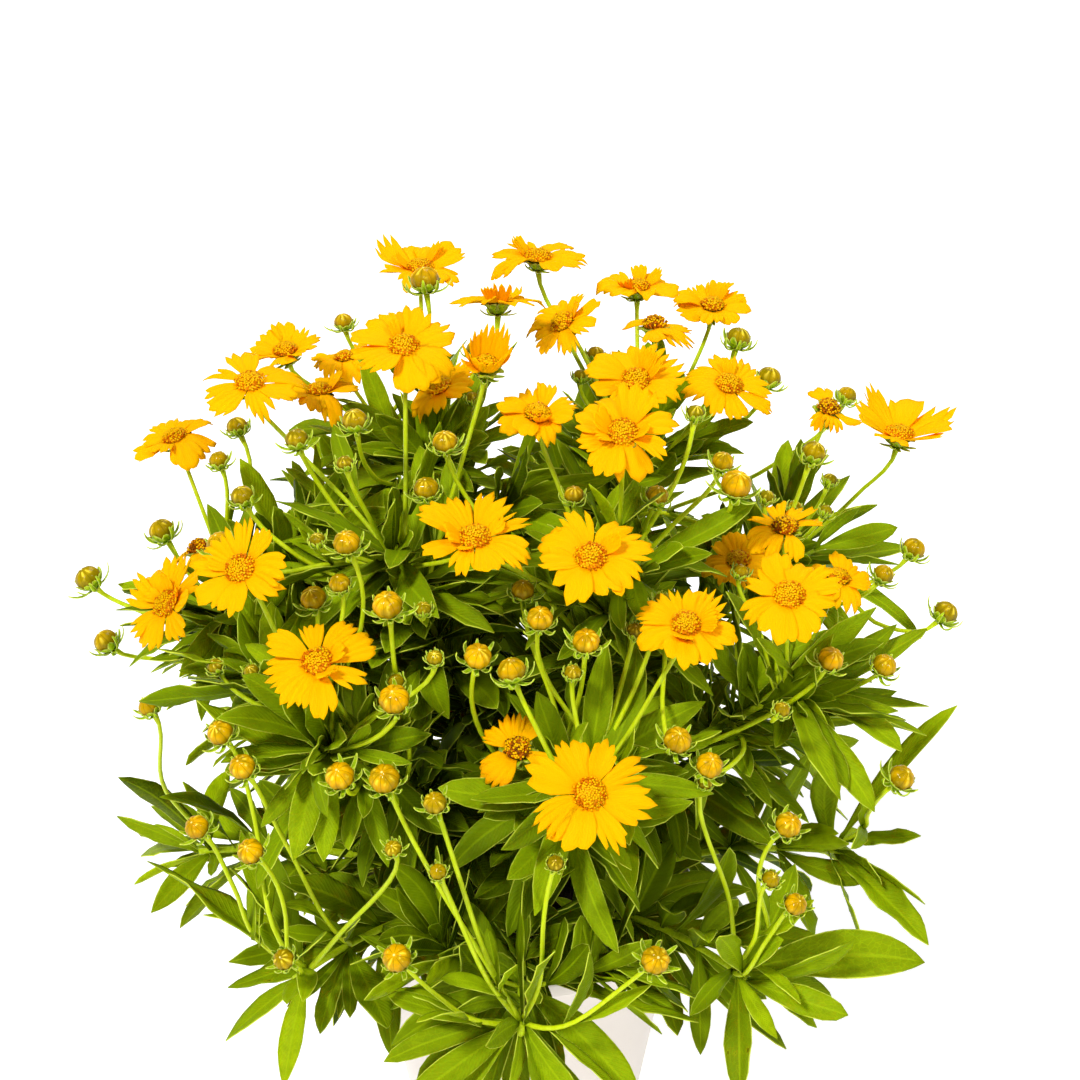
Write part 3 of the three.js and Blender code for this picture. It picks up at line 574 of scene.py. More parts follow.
# A bud's sheen and its top dot are painted highlights. Its flush is a colour of its own.
BUD_TINTS = {"sheen": (1.0, 0.78, 0.05), "flush": (0.55, 0.19, 0.0), "top": (1.0, 0.82, 0.25)}
DUST = (0.3, 0.22, 0.16)
BARK = (0.12, 0.06, 0.028)


# The sockets of a Mix node for its factor and its two colours, and the one that gives its result.
MIX_SOCKETS = (0, 6, 7)
MIX_RESULT = 2


def scaled(tint, amount):
    """A colour made brighter or darker."""
    return tuple(channel * amount for channel in tint)


class Shading:
    """A material with one Principled shader, whose colours are laid over each other one by one."""

    def __init__(self, name, roughness, tint, **sockets):
        self.material = bpy.data.materials.new(name)
        self.material.use_nodes = True
        self.tree = self.material.node_tree
        self.shader = self.tree.nodes["Principled BSDF"]
        self.tint = tint
        for socket, value in {"Roughness": roughness, **sockets}.items():
            self.feed(self.shader.inputs[socket.replace("_", " ")], value)

    def node(self, kind, **inputs):
        node = self.tree.nodes.new(kind)
        for name, value in inputs.items():
            self.feed(node.inputs[name.replace("_", " ")], value)
        return node

    def feed(self, socket, value):
        """Wire a node's output to a socket, or set the socket's own number or colour."""
        if isinstance(value, bpy.types.NodeSocket):
            self.tree.links.new(value, socket)
        elif socket.type == "RGBA":
            socket.default_value = (*value, 1.0)
        else:
            socket.default_value = value

    def value(self, name):
        """A value that the mesh carries for every corner."""
        node = self.tree.nodes.new("ShaderNodeAttribute")
        node.attribute_name = name
        return node.outputs["Fac"]

    def math(self, operation, *values):
        node = self.tree.nodes.new("ShaderNodeMath")
        node.operation = operation
        for socket, value in zip(node.inputs, values):
            self.feed(socket, value)
        return node.outputs[0]

    def times(self, first, second):
        return self.math("MULTIPLY", first, second)

    def between(self, low, high, value):
        """0 below low, 1 above high, and a smooth way between them."""
        node = self.tree.nodes.new("ShaderNodeMapRange")
        node.interpolation_type = "SMOOTHSTEP"
        for name, given in (("Value", value), ("From Min", low), ("From Max", high)):
            self.feed(node.inputs[name], given)
        return node.outputs["Result"]

    def place(self):
        return self.tree.nodes.new("ShaderNodeTexCoord").outputs["Object"]

    def noise(self, scale, detail=3.0, stretch=None):
        place = self.place()
        if stretch is not None:
            mapping = self.node("ShaderNodeMapping", Vector=place, Scale=(1.0, 1.0, stretch))
            place = mapping.outputs["Vector"]
        return self.node("ShaderNodeTexNoise", Vector=place, Scale=scale, Detail=detail).outputs["Fac"]

    def cells(self, scale):
        """How far it is to the edge of an irregular cell."""
        node = self.node("ShaderNodeTexVoronoi", Vector=self.place(), Scale=scale)
        node.feature = "DISTANCE_TO_EDGE"
        return node.outputs["Distance"]

    def lay(self, tint, part, strength=None):
        """Lay a colour over what is there, as far as part says, and no more than its strength."""
        node = self.tree.nodes.new("ShaderNodeMix")
        node.data_type = "RGBA"
        part = part if strength is None else self.times(part, strength)
        for socket, given in zip(MIX_SOCKETS, (part, self.tint, tint)):
            self.feed(node.inputs[socket], given)
        self.tint = node.outputs[MIX_RESULT]

    def done(self, relief=None, height=0.0, strength=1.0):
        """The material with its colours wired in, and with a relief of this height."""
        self.feed(self.shader.inputs["Base Color"], self.tint)
        if relief is not None:
            bump = self.node("ShaderNodeBump", Height=relief, Distance=height, Strength=strength)
            self.feed(self.shader.inputs["Normal"], bump.outputs["Normal"])
        return self.material


def leaf_material(settings):
    paint = Shading(
        "leaf", 0.42, settings.shade,
        Subsurface_Weight=0.1, Subsurface_Scale=2 * MM, Specular_IOR_Level=0.02,
    )
    across = paint.math("ABSOLUTE", paint.value("across"))
    along, tone, glow = (paint.value(name) for name in ("along", "tone", "glow"))
    # Painted light and shade: the heart's dark colour gives way to the lit one, as far as the leaf's
    # glow says.
    paint.lay(settings.glow, glow)
    paint.lay(scaled(settings.shade, 0.55), paint.between(0.35, 0.7, paint.noise(170)), 0.4)
    paint.lay(LEAF_TINTS["fresh"], paint.between(0.55, 1.0, tone), 0.5)
    # Deeper green at low tone: partly a leaf's own colour at random, partly painted shade deep in the
    # heart.
    paint.lay(LEAF_TINTS["deep"], paint.between(0.4, 0.0, tone), 0.72)
    slant = paint.math("SUBTRACT", paint.times(along, 22.0), paint.times(across, 4.0))
    wave = paint.math("SINE", paint.times(slant, 3.14))
    veins = paint.math("POWER", paint.math("ABSOLUTE", wave), 8.0)
    paint.lay(LEAF_TINTS["side veins"], veins, 0.08)
    # Painted shade: each leaf is darker towards its foot, in the deep gaps of the mound.
    paint.lay(scaled(settings.shade, 0.35), paint.between(0.45, 0.0, along), 0.55)
    paint.lay(LEAF_TINTS["underside"], paint.value("under"), 0.55)
    paint.lay(LEAF_TINTS["midrib"], paint.between(0.13, 0.03, across), 0.5)
    # Pale net of veins: partly the leaf's own veins, shown only as far as the painted light falls
    # through it.
    paint.lay(LEAF_TINTS["net"], paint.times(paint.between(0.07, 0.0, paint.cells(330)), glow), 0.3)
    # Pale rim of fine hairs: partly their own colour, and partly a painted highlight where light catches
    # them.
    edge = paint.times(paint.between(0.93, 0.99, across), paint.between(0.36, 0.6, paint.noise(70)))
    paint.lay(settings.edge, edge, 0.78)
    dull = paint.between(0.0, 1.0, paint.noise(400))
    paint.feed(paint.shader.inputs["Roughness"], paint.math("MULTIPLY_ADD", dull, 0.2, 0.34))
    relief = paint.math("ADD", paint.times(veins, 0.5), paint.noise(900))
    return paint.done(relief, 0.25 * MM, 0.7)


def stalk_material(settings):
    paint = Shading(
        "stalk", 0.38, settings.green,
        Subsurface_Weight=0.1, Subsurface_Scale=1 * MM, Specular_IOR_Level=0.12,
    )
    paint.lay(STALK_TINTS["dark"], paint.value("tone"))
    paint.lay(STALK_TINTS["pale streaks"], paint.between(0.4, 0.65, paint.noise(900, stretch=0.1)), 0.3)
    return paint.done(paint.noise(1400, stretch=0.15), 0.1 * MM)


def bract_material(settings):
    paint = Shading(
        "bract", 0.4, settings.bract,
        Subsurface_Weight=0.12, Subsurface_Scale=1 * MM, Specular_IOR_Level=0.12,
    )
    across = paint.math("ABSOLUTE", paint.value("across"))
    along, tone = (paint.value(name) for name in ("along", "tone"))
    paint.lay(BRACT_TINTS["clouds"], paint.between(0.3, 0.75, paint.noise(500)))
    paint.lay(BRACT_TINTS["pale rim"], paint.between(0.55, 0.95, across), 0.6)
    paint.lay(BRACT_TINTS["dry rim"], paint.times(tone, paint.between(0.62, 0.9, across)), 0.8)
    paint.lay(BRACT_TINTS["dry tip"], paint.times(tone, paint.between(0.75, 1.0, along)), 0.6)
    return paint.done(paint.noise(1200), 0.12 * MM)


def ray_material(settings):
    paint = Shading(
        "ray", 0.6, settings.gold, Specular_IOR_Level=0.02,
        Subsurface_Weight=0.45, Subsurface_Radius=(1.0, 0.85, 0.05), Subsurface_Scale=1.5 * MM,
    )
    across, along = (paint.value(name) for name in ("across", "along"))
    paint.lay(settings.amber, paint.between(0.42, 0.0, along), 0.42)
    stripes = paint.between(0.2, 1.0, paint.math("SINE", paint.times(across, 34.0)))
    paint.lay(settings.amber, stripes, 0.1)
    paint.lay(scaled(settings.gold, 0.88), paint.between(0.4, 0.75, paint.noise(160)), 0.22)
    paint.lay(BLOOM_TINTS["burnt"], paint.times(paint.value("tone"), paint.between(0.55, 1.0, along)))
    # Painted shade: the rays' undersides are a touch more amber.
    paint.lay(settings.amber, paint.value("under"), 0.04)
    grooves = paint.math("SINE", paint.times(across, 60.0))
    relief = paint.math("ADD", grooves, paint.times(paint.noise(700), 1.4))
    return paint.done(relief, 0.1 * MM, 0.35)


def floret_material(settings):
    paint = Shading(
        "floret", 0.5, settings.floret,
        Subsurface_Weight=0.1, Subsurface_Scale=1 * MM, Specular_IOR_Level=0.06,
    )
    tone, along = (paint.value(name) for name in ("tone", "along"))
    paint.lay(BLOOM_TINTS["burnt"], paint.between(0.0, 0.5, tone))
    paint.lay(settings.brown, paint.between(0.5, 1.0, tone))
    # Painted shade: darker orange towards the florets' feet, down between them.
    paint.lay(BLOOM_TINTS["low"], paint.between(0.5, 0.0, along), 0.2)
    return paint.done(paint.noise(1500), 0.1 * MM)


def bud_material(settings):
    paint = Shading(
        "bud", 0.4, settings.green, Specular_IOR_Level=0.02, Coat_Weight=0.16, Coat_Roughness=0.06,
    )
    across, along, tone = (paint.value(name) for name in ("across", "along", "tone"))
    top = paint.between(0.5, 0.85, along)
    paint.lay(settings.ripe, tone)
    paint.lay(settings.olive, paint.between(0.42, 0.6, paint.noise(190, stretch=0.6)), 0.5)
    # Painted shade: the ball's lower half is darker olive.
    paint.lay(scaled(settings.olive, 0.7), paint.between(0.72, 0.3, along), 0.75)
    # Painted highlight: a pale sheen along the lobes' crowns, strongest towards the top.
    sheen = paint.times(paint.between(0.65, 0.1, across), paint.between(0.5, 0.62, paint.noise(260)))
    paint.lay(BUD_TINTS["sheen"], sheen, paint.math("MULTIPLY_ADD", top, 0.75, 0.12))
    paint.lay(BUD_TINTS["flush"], paint.times(paint.between(0.45, 0.65, paint.noise(320)), tone), 0.3)
    # Darker olive at the seams between the lobes, most towards the top: partly their own colour, partly
    # painted shade in the creases.
    seam = paint.between(0.8, 1.0, across)
    paint.lay(scaled(settings.olive, 0.6), seam, paint.math("MULTIPLY_ADD", top, 0.35, 0.25))
    # Painted highlight: a bright dot at the top of the ball.
    paint.lay(BUD_TINTS["top"], paint.between(0.96, 0.985, along))
    return paint.done(paint.noise(1100), 0.08 * MM)


def pot_material(settings):
    paint = Shading("pot", 0.38, settings.plastic)
    paint.lay(scaled(settings.plastic, 0.93), paint.between(0.35, 0.7, paint.noise(14)), 0.25)
    height = paint.node("ShaderNodeSeparateXYZ", Vector=paint.place()).outputs["Z"]
    low = paint.between(50 * MM, 0.0, height)
    specks = paint.between(0.62, 0.74, paint.noise(260, detail=6.0))
    paint.lay(DUST, specks, paint.math("MULTIPLY_ADD", low, 0.4, 0.06))
    paint.feed(paint.shader.inputs["Roughness"], paint.math("MULTIPLY_ADD", paint.noise(60), 0.16, 0.3))
    return paint.done(paint.noise(1600, detail=1.0), 0.06 * MM)


def soil_material(settings):
    paint = Shading("soil", 0.92, scaled(settings.peat, 0.5))
    paint.lay(scaled(settings.peat, 1.7), paint.between(0.35, 0.7, paint.noise(420, detail=5.0)))
    paint.lay(BARK, paint.value("tone"), 0.8)
    return paint.done(paint.noise(900, detail=5.0), 0.6 * MM)


# ---------------------------------------------------------------- leaves

# The mound of leaves: its middle, and how far it reaches from there.
MOUND_MIDDLE = np.array([0, 0, 120]) * MM
MOUND_REACH = np.array([185, 185, 250]) * MM

# The rows and columns of a blade that is wider than this.
LEAF_GRIDS = ((17 * MM, (13, 7)), (9.5 * MM, (10, 5)), (0, (8, 5)))

# What differs from leaf to leaf: how it rolls about its middle and twists towards its tip, how slowly
# it widens at its foot and narrows at its tip, how far it is folded, the height, start and number of
# the waves of its edge, and how much light falls through it.
LEAF_CHANCE = {
    "roll": (-0.2, 0.2),
    "twist": (-0.9, 0.9),
    "foot": (0.9, 1.3),
    "tip": (0.62, 0.95),
    "fold": (0.4, 1.4),
    "wave": (0.03, 0.17),
    "start": (0, TURN),
    "beat": (2.0, 3.6),
    "light": (-0.12, 0.8, -0.04),
}

# Half the width of a leaf's own short stalk and of its very tip.
LEAF_STALK = 0.9 * MM
LEAF_POINT = 0.15 * MM
# An added leaf is no wider than the first, and a leaf shorter than the second has a thinner blade.
WIDEST_LEAF = 14.5 * MM
SHORT_LEAF = 30 * MM

# Between these limits a leaf gets out of the mound's heart, as a share of the mound's reach, out to its
# sides and up from its low part, and comes to count as a broad one. These set its painted light and
# shade.
HEART_LIMITS = (0.5, 0.9)
SIDE_LIMITS = (0.1, 0.19)
LOW_LIMITS = (0.16, 0.3)
BROAD_LIMITS = (18 * MM, 24 * MM)

# How near two added leaves may come, and where that is measured: at these shares of a leaf's length,
# each with so much of its bow. Then how far a leaf may stand past the solids' box.
LEAF_GAP = 3.2 * MM
BLADE_SAMPLES = ((0.35, 0.7), (0.6, 0.9), (0.85, 0.5))
BOX_SLACK = 1 * MM

# Added leaves by where they grow: their lengths in millimetres, their angles to what carries them and
# how often a place for one is looked for.
STEM_LEAF = {"spans": (36, 68), "lean": (0.4, 1.5), "tries": 8}
STALK_LEAF = {"spans": (24, 46), "lean": (0.3, 0.9), "tries": 5}
SHOOT_LEAF = {"spans": (38, 66), "lean": (0.35, 1.3), "tries": 8}
SIDE_LEAF_TRIES = 6


def leaf_outline(t, foot, tip):
    """Half the width of a lance-shaped leaf along its length, 1 at its widest."""
    widest = foot / (foot + tip)
    return t**foot * (1 - t) ** tip / (widest**foot * (1 - widest) ** tip)


def leaf_light(middle, width, chance):
    """How deep a leaf lies in the heart of the mound, and how much light falls through it."""
    heart = 1 - smooth(*HEART_LIMITS, np.linalg.norm((middle - MOUND_MIDDLE) / MOUND_REACH))
    outer = smooth(*SIDE_LIMITS, np.hypot(middle[0], middle[1]))
    low = 1 - smooth(*LOW_LIMITS, middle[2])
    broad = smooth(*BROAD_LIMITS, width)
    # Painted light and shade: a leaf deep in the heart of the mound gets a darker colour, which is
    # painted shade. A low, broad leaf at the sides gets a lighter one, which is painted light falling
    # through it.
    glow = 0.2 + 0.3 * outer * low + 0.06 * outer - 0.44 * heart + 0.45 * broad * low + chance
    return heart, np.clip(glow, 0, 1)


def grow_leaf(skin, leaf, settings, draw):
    """A folded, arching blade with a wavy edge and a narrow foot."""
    by = drawn(draw, LEAF_CHANCE)
    rows, columns = next(grid for least, grid in LEAF_GRIDS if leaf["width"] > least)
    places = 1 - (1 - np.linspace(0, 1, rows)) ** 1.15
    centre, along = smooth_path(leaf["points"], places)
    up = square_to(np.broadcast_to(leaf["up"], centre.shape), along)
    side = np.cross(along, up)
    roll = (by["roll"] + by["twist"] * places)[:, None]
    up, side = up * np.cos(roll) + side * np.sin(roll), side * np.cos(roll) - up * np.sin(roll)
    half = leaf["width"] * settings.breadth / 2 * leaf_outline(places, by["foot"], by["tip"])
    half = np.maximum(half, LEAF_STALK * (1 - places) ** 0.5 + LEAF_POINT)
    across = np.linspace(-1, 1, columns)
    fold = settings.fold * by["fold"]
    lift = (np.abs(across) - 0.4 * across**2) * math.sin(fold)
    waves = np.sin(TURN * by["beat"] * places[:, None] + by["start"] + across * 1.3)
    ripple = waves * np.abs(across) * by["wave"]
    grid = (
        centre[:, None]
        + side[:, None] * (half[:, None] * across * math.cos(fold))[..., None]
        + up[:, None] * (half[:, None] * (lift + ripple))[..., None]
    )
    heart, glow = leaf_light(centre.mean(axis=0), leaf["width"], by["light"])
    # A leaf's tone differs at random. It is also lowered deep in the heart, where the deeper green it
    # brings is painted shade.
    tone = draw.random() * (1 - 0.85 * heart)
    taper = np.minimum(1, np.linalg.norm(centre[-1] - centre[0]) / SHORT_LEAF)
    blade(
        skin, grid[:, ::-1], settings.thickness * taper,
        across=across[::-1][None], along=places[:, None], tone=tone, glow=glow,
    )


def arched_leaf(root, direction, up, span, draw):
    """A leaf that sags a little, given its foot, its direction and its length."""
    sag = draw.uniform(-0.08, 0.3)
    aside = np.cross(direction, up) * draw.uniform(-0.09, 0.09) * span
    middle = root + direction * span * 0.5 - UP * span * sag * 0.25 + aside
    tip = root + direction * span - UP * span * sag
    width = span * draw.uniform(0.2, 0.29)
    return {"points": [root, middle, tip], "up": up, "width": min(width, WIDEST_LEAF)}


def side_leaf(leaf, draw):
    """A smaller leaf of a side shoot, beside a leaf of the frame and from the same joint."""
    root = np.array(leaf["points"][0])
    tip = np.array(leaf["points"][-1])
    direction = unit(tip - root)
    span = np.linalg.norm(tip - root) * draw.uniform(0.55, 0.95)
    up = square_to(leaf["up"], direction)
    turn = draw.choice((-1, 1)) * draw.uniform(0.45, 1.35)
    direction = turned(direction, up, turn)
    direction = unit(direction + up * draw.uniform(-0.25, 0.55) + UP * draw.uniform(-0.1, 0.35))
    up = square_to(up + UP * draw.uniform(0, 0.8), direction)
    return arched_leaf(root, direction, up, span, draw)


def leaf_from(at, along, kind, draw):
    """A leaf from anywhere on a stem or stalk, at an angle to it."""
    place = int(len(at) * draw.random() ** 0.7)
    around = square_to(np.array([draw.gauss(0, 1) for _ in range(3)]), along[place])
    tilt = draw.uniform(*kind["lean"])
    direction = along[place] * math.cos(tilt) + around * math.sin(tilt)
    direction = unit(direction + UP * draw.uniform(-0.2, 0.45))
    up = square_to(along[place] + UP * draw.uniform(0.1, 0.8), direction)
    return arched_leaf(at[place], direction, up, draw.uniform(*kind["spans"]) * MM, draw)


def rough_blade(leaf):
    """A few triangles in the shape of a leaf, without its foot."""
    root, tip = (np.asarray(leaf["points"][i]) for i in (0, -1))
    middle = np.asarray(leaf["points"][-2])
    side = np.cross(unit(tip - root), leaf["up"]) * leaf["width"] * 0.45
    near = root + (middle - root) * 0.35
    return [near, middle + side, tip, middle - side], [(0, 1, 2), (0, 2, 3)]


def inside_box(points):
    """Whether all points are inside the solids' box, or just past it."""
    low, high = (np.array(corner) for corner in CAD_BOX)
    return np.all(np.array(points) > low - BOX_SLACK) and np.all(np.array(points) < high + BOX_SLACK)


class Crowd:
    """What the plant holds already, so that further leaves keep out of it."""

    def __init__(self):
        points, faces = [], []
        for node in STEM_NODES + BLOOM_NODES + ["pot"]:
            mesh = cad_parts[node].data
            size = len(points)
            points.extend(corner.co.to_tuple() for corner in mesh.vertices)
            faces.extend([size + corner for corner in polygon.vertices] for polygon in mesh.polygons)
        self.tree = BVHTree.FromPolygons(points, faces)
        self.added = np.zeros((0, 3))

    def takes(self, leaf):
        """Whether a leaf is clear of what is there. If so, it belongs to the crowd from then on."""
        points, faces = rough_blade(leaf)
        if not inside_box(points):
            return False
        if self.tree.overlap(BVHTree.FromPolygons([tuple(p) for p in points], faces)):
            return False
        near, middle, tip = (np.asarray(p) for p in (points[0], leaf["points"][1], points[2]))
        bow = middle - mix_points(near, tip, 0.5)
        samples = np.array([mix_points(near, tip, part) + bow * bend for part, bend in BLADE_SAMPLES])
        gaps = np.linalg.norm(self.added[None] - samples[:, None], axis=2)
        if gaps.size and gaps.min() < LEAF_GAP:
            return False
        self.added = np.concatenate([self.added, samples])
        return True

    def add_leaf(self, leaves, tries, grow):
        """Grow a leaf up to so many times, until one is clear."""
        for _ in range(tries):
            leaf = grow()
            if self.takes(leaf):
                leaves.append(leaf)
                return


# ---------------------------------------------------------------- stalks, bracts and buds

BRACTS = 8
BRACT_THICKNESS = 0.35 * MM
BRACT_FOOT = 1 * MM

# Radii of buds: one whose bracts have their usual size, the least of one that isn't young any more,
# and the one above which a ball has the finer grid.
USUAL_BUD = 5.4 * MM
YOUNG_BUD = 3.8 * MM
FINE_BUD = 4 * MM

# Small buds point away from this height on the plant's axis, and further up.
BUD_HUB = 0.13
# How much further off a stem seems for every small bud that it carries already.
CROWDING = 0.2

# A stalk: how many rings it has, its radius along its length as a share of its setting, and how deep
# the grooves between its ribs are. Then the ribs of a stem and their grooves.
STALK_RINGS = 15
STALK_RADII = ((0, 0.25, 0.93, 1), (1.15, 1.0, 0.92, 1.5))
STALK_GROOVES = 0.09
STEM_RIBS, STEM_GROOVES = 4, 0.06

# Buds get ripe between these places along Y, towards the front, or between these radii.
RIPE_PLACES = (-0.13, -0.02)
RIPE_RADII = (5.9 * MM, 6.2 * MM)


def ring_of_bracts(skin, foot, axis, grow_line, width, draw, tone=0.0, offset=0.0, columns=3):
    """Small leaves all round a head's foot, each on a line of its own that runs outward and up."""
    upright = abs(axis[2]) >= 0.9
    side = square_to(np.array([1.0, 0.0, 0.2] if upright else [0.3, 0.2, 1.0]), axis)
    across = np.linspace(-1, 1, columns)
    for i in range(BRACTS):
        outward = turned(side, axis, (i + offset) / BRACTS * TURN + draw.uniform(-0.1, 0.1))
        line = grow_line()
        t = np.linspace(0, 1, len(line))
        slope = unit(np.gradient(line, axis=0))
        centre = foot + outward * line[:, :1] + axis * line[:, 1:]
        inward = axis * slope[:, :1] - outward * slope[:, 1:]
        half = width / 2 * (t + 0.12) ** 0.5 * (1.03 - t) ** 0.55 / 0.7
        grid = (
            centre[:, None]
            + np.cross(axis, outward) * (half[:, None] * across)[..., None]
            + inward[:, None] * (half[:, None] * 0.3 * across**2)[..., None]
        )
        blade(skin, grid, BRACT_THICKNESS, across=across[None], along=t[:, None], tone=tone)


def leaning_line(span, leans, rise=-0.3 * MM):
    """Places outward from the axis and up along it, of a line with these leans from step to step."""
    leans = np.asarray(leans)
    steps = np.stack([np.sin(leans), np.cos(leans)], axis=1) * span / len(leans)
    return np.array([BRACT_FOOT, rise]) + np.concatenate([np.zeros((1, 2)), np.cumsum(steps, axis=0)])


def hugging_line(radius, end):
    """A line that follows a ball from its foot up to an angle round it."""
    rows = 5
    angle = np.linspace(0.2, end, rows)
    flare = np.linspace(0, 1, rows) ** 4 * 0.12 * radius
    outer = radius + BRACT_THICKNESS
    return np.stack([outer * np.sin(angle) + flare, radius - outer * np.cos(angle)], axis=1)


def straightened(path, part):
    """A path whose inner points are drawn towards the straight line between its ends."""
    path = np.asarray(path)
    lengths = np.concatenate([[0], np.cumsum(np.linalg.norm(np.diff(path, axis=0), axis=1))])[:, None]
    straight = path[0] + (path[-1] - path[0]) * lengths / lengths[-1]
    return path + (straight - path) * part


def grow_stalk(skin, path, axis, settings, tone=0.0, straight=0.1, sway=0.0):
    """A slender ribbed stalk from its joint to its head, which may sway to both sides as it rises."""
    places = np.linspace(0, 1, STALK_RINGS)
    at, along = smooth_path(straightened(path, straight), places, last_direction=axis)
    rise = at[-1] - at[0]
    aside = unit(np.cross(rise, UP + 0.01)) * np.linalg.norm(rise) * sway
    at = at + aside * np.sin(TURN * places)[:, None]
    along = unit(np.gradient(at, axis=0)) if sway else along
    radii = settings.radius * np.interp(places, *STALK_RADII)
    tube(skin, at, along, radii, np.cross(along[0], UP + 0.01), settings.ribs, STALK_GROOVES, tone=tone)


def grow_ball(skin, centre, axis, radius, lobes, ripeness):
    """A closed bud: rays folded to a ball whose edges meet at its top."""
    rows, sides = (14, lobes * 4) if radius > FINE_BUD else (10, lobes * 2)
    polar = np.linspace(0.0, math.pi, rows)[1:-1]
    around = np.arange(sides) / sides * TURN
    seam = np.abs(((around * lobes / TURN) % 1) * 2 - 1)
    crease = (0.05 * seam**2 + 0.02 * seam**8) * np.sin(polar[:, None]) ** 0.5
    profile = radius * (0.96 - 0.08 * np.cos(2 * polar))[:, None] * (1 - crease)
    side = square_to(np.array([0.2, 1.0, 0.1]), axis)
    normal = np.cross(axis, side)
    rings = (
        centre
        - axis * (profile * np.cos(polar)[:, None])[..., None]
        + side * (profile * np.sin(polar)[:, None] * np.cos(around))[..., None]
        + normal * (profile * np.sin(polar)[:, None] * np.sin(around))[..., None]
    )
    ends = [centre - axis * radius * 0.88, centre + axis * radius * 0.9]
    along = np.concatenate([np.repeat(polar / math.pi, sides), [0, 1]])
    across = np.concatenate([np.tile(seam, len(polar)), [0, 0]])
    add_turned(skin, rings, ends, along=along, across=across, tone=ripeness)


def grow_bud(balls, bracts, foot, axis, radius, ripeness, settings, draw):
    """A ball in its two rings of bracts."""
    size = radius / USUAL_BUD
    young = radius < YOUNG_BUD
    grow_ball(balls, foot + axis * radius * 0.9, axis, radius, settings.lobes, ripeness)
    ring_of_bracts(
        bracts, foot, axis,
        lambda: hugging_line(radius, draw.uniform(1.5, 1.85) - 0.6 * ripeness + 0.1 * young),
        5.4 * MM * size, draw, tone=0.2, offset=0.5, columns=3 if young else 5,
    )

    def curling_line():
        span = draw.uniform(9.4, 12.6) * MM * size
        first = draw.uniform(1.55, 1.95) - 0.4 * young
        last = draw.uniform(-0.3, 0.7) - 0.2 * young
        return leaning_line(span, np.linspace(first, last, 4 if young else 6))

    ring_of_bracts(bracts, foot, axis, curling_line, 2.5 * MM * size, draw)


def grow_cup(bracts, cup, draw):
    """The two rings of bracts under a bloom."""
    foot, axis = cup["path"][-1], cup["axis"]
    ring_of_bracts(
        bracts, foot, axis,
        lambda: leaning_line(draw.uniform(8.2, 8.9) * MM, (1.25, 0.8, 0.5, 0.9, 1.45), rise=0),
        5.8 * MM, draw, tone=0.6, offset=0.5,
    )
    ring_of_bracts(
        bracts, foot, axis,
        lambda: leaning_line(draw.uniform(5.5, 8) * MM, np.linspace(1.75, draw.uniform(0.1, 1.5), 6)),
        2.4 * MM, draw,
    )


def ripeness_at(place, radius, draw):
    """The buds in front and the largest ones are the ripest."""
    front = 1 - smooth(*RIPE_PLACES, place[1])
    large = smooth(*RIPE_RADII, radius)
    return draw.uniform(0.15, 0.5) + max(front, large) * draw.uniform(0.4, 0.5)


def stalk_effort(joints, place):
    """How long a stalk from each of these joints would be, and longer for one that doesn't rise."""
    gaps = place - joints
    lengths = np.linalg.norm(gaps, axis=1)
    return lengths * (1.7 - gaps[:, 2] / lengths)


def nearest_joint(at, place):
    """The joint of a stem that a stalk to this place starts from."""
    return JOINTS.start + int(np.argmin(stalk_effort(at[JOINTS], place)))


def share_small_buds(lines):
    """Every small bud goes to a stem that a short, rising stalk reaches it from, and few to each."""
    hosts = [[] for _ in lines]
    for row in SMALL_BUDS:
        place = np.array(row[:3]) * MM
        efforts = [
            np.min(stalk_effort(at[JOINTS], place)) * (1 + CROWDING * len(host))
            for (at, _, _), host in zip(lines, hosts)
        ]
        hosts[int(np.argmin(efforts))].append((place, row[3] * MM))
    return hosts


def grow_small_bud(stalks, bracts, balls, line, bud, settings, draw):
    """A bud on a thin stalk of its own, which rises from the nearest joint of its stem."""
    at, along, _ = line
    place, radius = bud
    axis = unit(unit(place - UP * BUD_HUB) + UP * 0.6)
    foot = place - axis * radius
    start = nearest_joint(at, place)
    root = at[start]
    span = np.linalg.norm(foot - root)
    aside = np.cross(unit(foot - root), UP) * draw.uniform(-0.08, 0.08) * span
    middle = (root + foot) / 2 + (along[start] - axis) * span * 0.1 + aside
    tone, sway = draw.uniform(0, 0.4), draw.uniform(-0.04, 0.04)
    grow_stalk(stalks, [root, middle, foot], axis, settings.stalk, tone, sway=sway)
    ripeness = draw.uniform(0, 0.25) if radius <= YOUNG_BUD else draw.uniform(0.25, 0.55)
    grow_bud(balls, bracts, foot, axis, radius, ripeness, settings.bud, draw)


# ---------------------------------------------------------------- blooms

# What differs from ray to ray: the depth and bluntness of its notches, its pleats, width, turn aside,
# arch, droop, fold and twist, the flare of its tip, its reach and how round it ends.
RAY_CHANCE = {
    "notch": (0.65, 1.5),
    "bluntness": (1.2, 2.2),
    "pleat": (0.4, 1.1),
    "breadth": (0.8, 1.22),
    "aside": (-0.26, 0.26),
    "arch": (-0.7, 1.5),
    "droop": (-5.4, 4.2, -0.5),
    "fold": (-0.22, 0.3),
    "twist": (-0.2, 0.2),
    "flare": (-2.2, 2.2),
    "reach": (0.76, 1.08, 1.02),
    "round": (0.14, 0.4),
}
# Those of them that are in millimetres.
RAY_LENGTHS = ("pleat", "arch", "droop", "flare")
# What the style of the bloom changes: its rays' widths, how burnt they are, and the shape of old ones.
RAY_BREADTHS = {"full": RAY_CHANCE["breadth"], "airy": (0.66, 0.98), "old": (0.66, 1.1)}
RAY_AGES = {"full": (0, 0.06), "airy": (0, 0.06), "old": (0.05, 0.45)}
OLD_RAY_CHANCE = {"notch": (1.0, 2.0), "fold": (-0.35, 0.45), "twist": (-0.4, 0.4)}

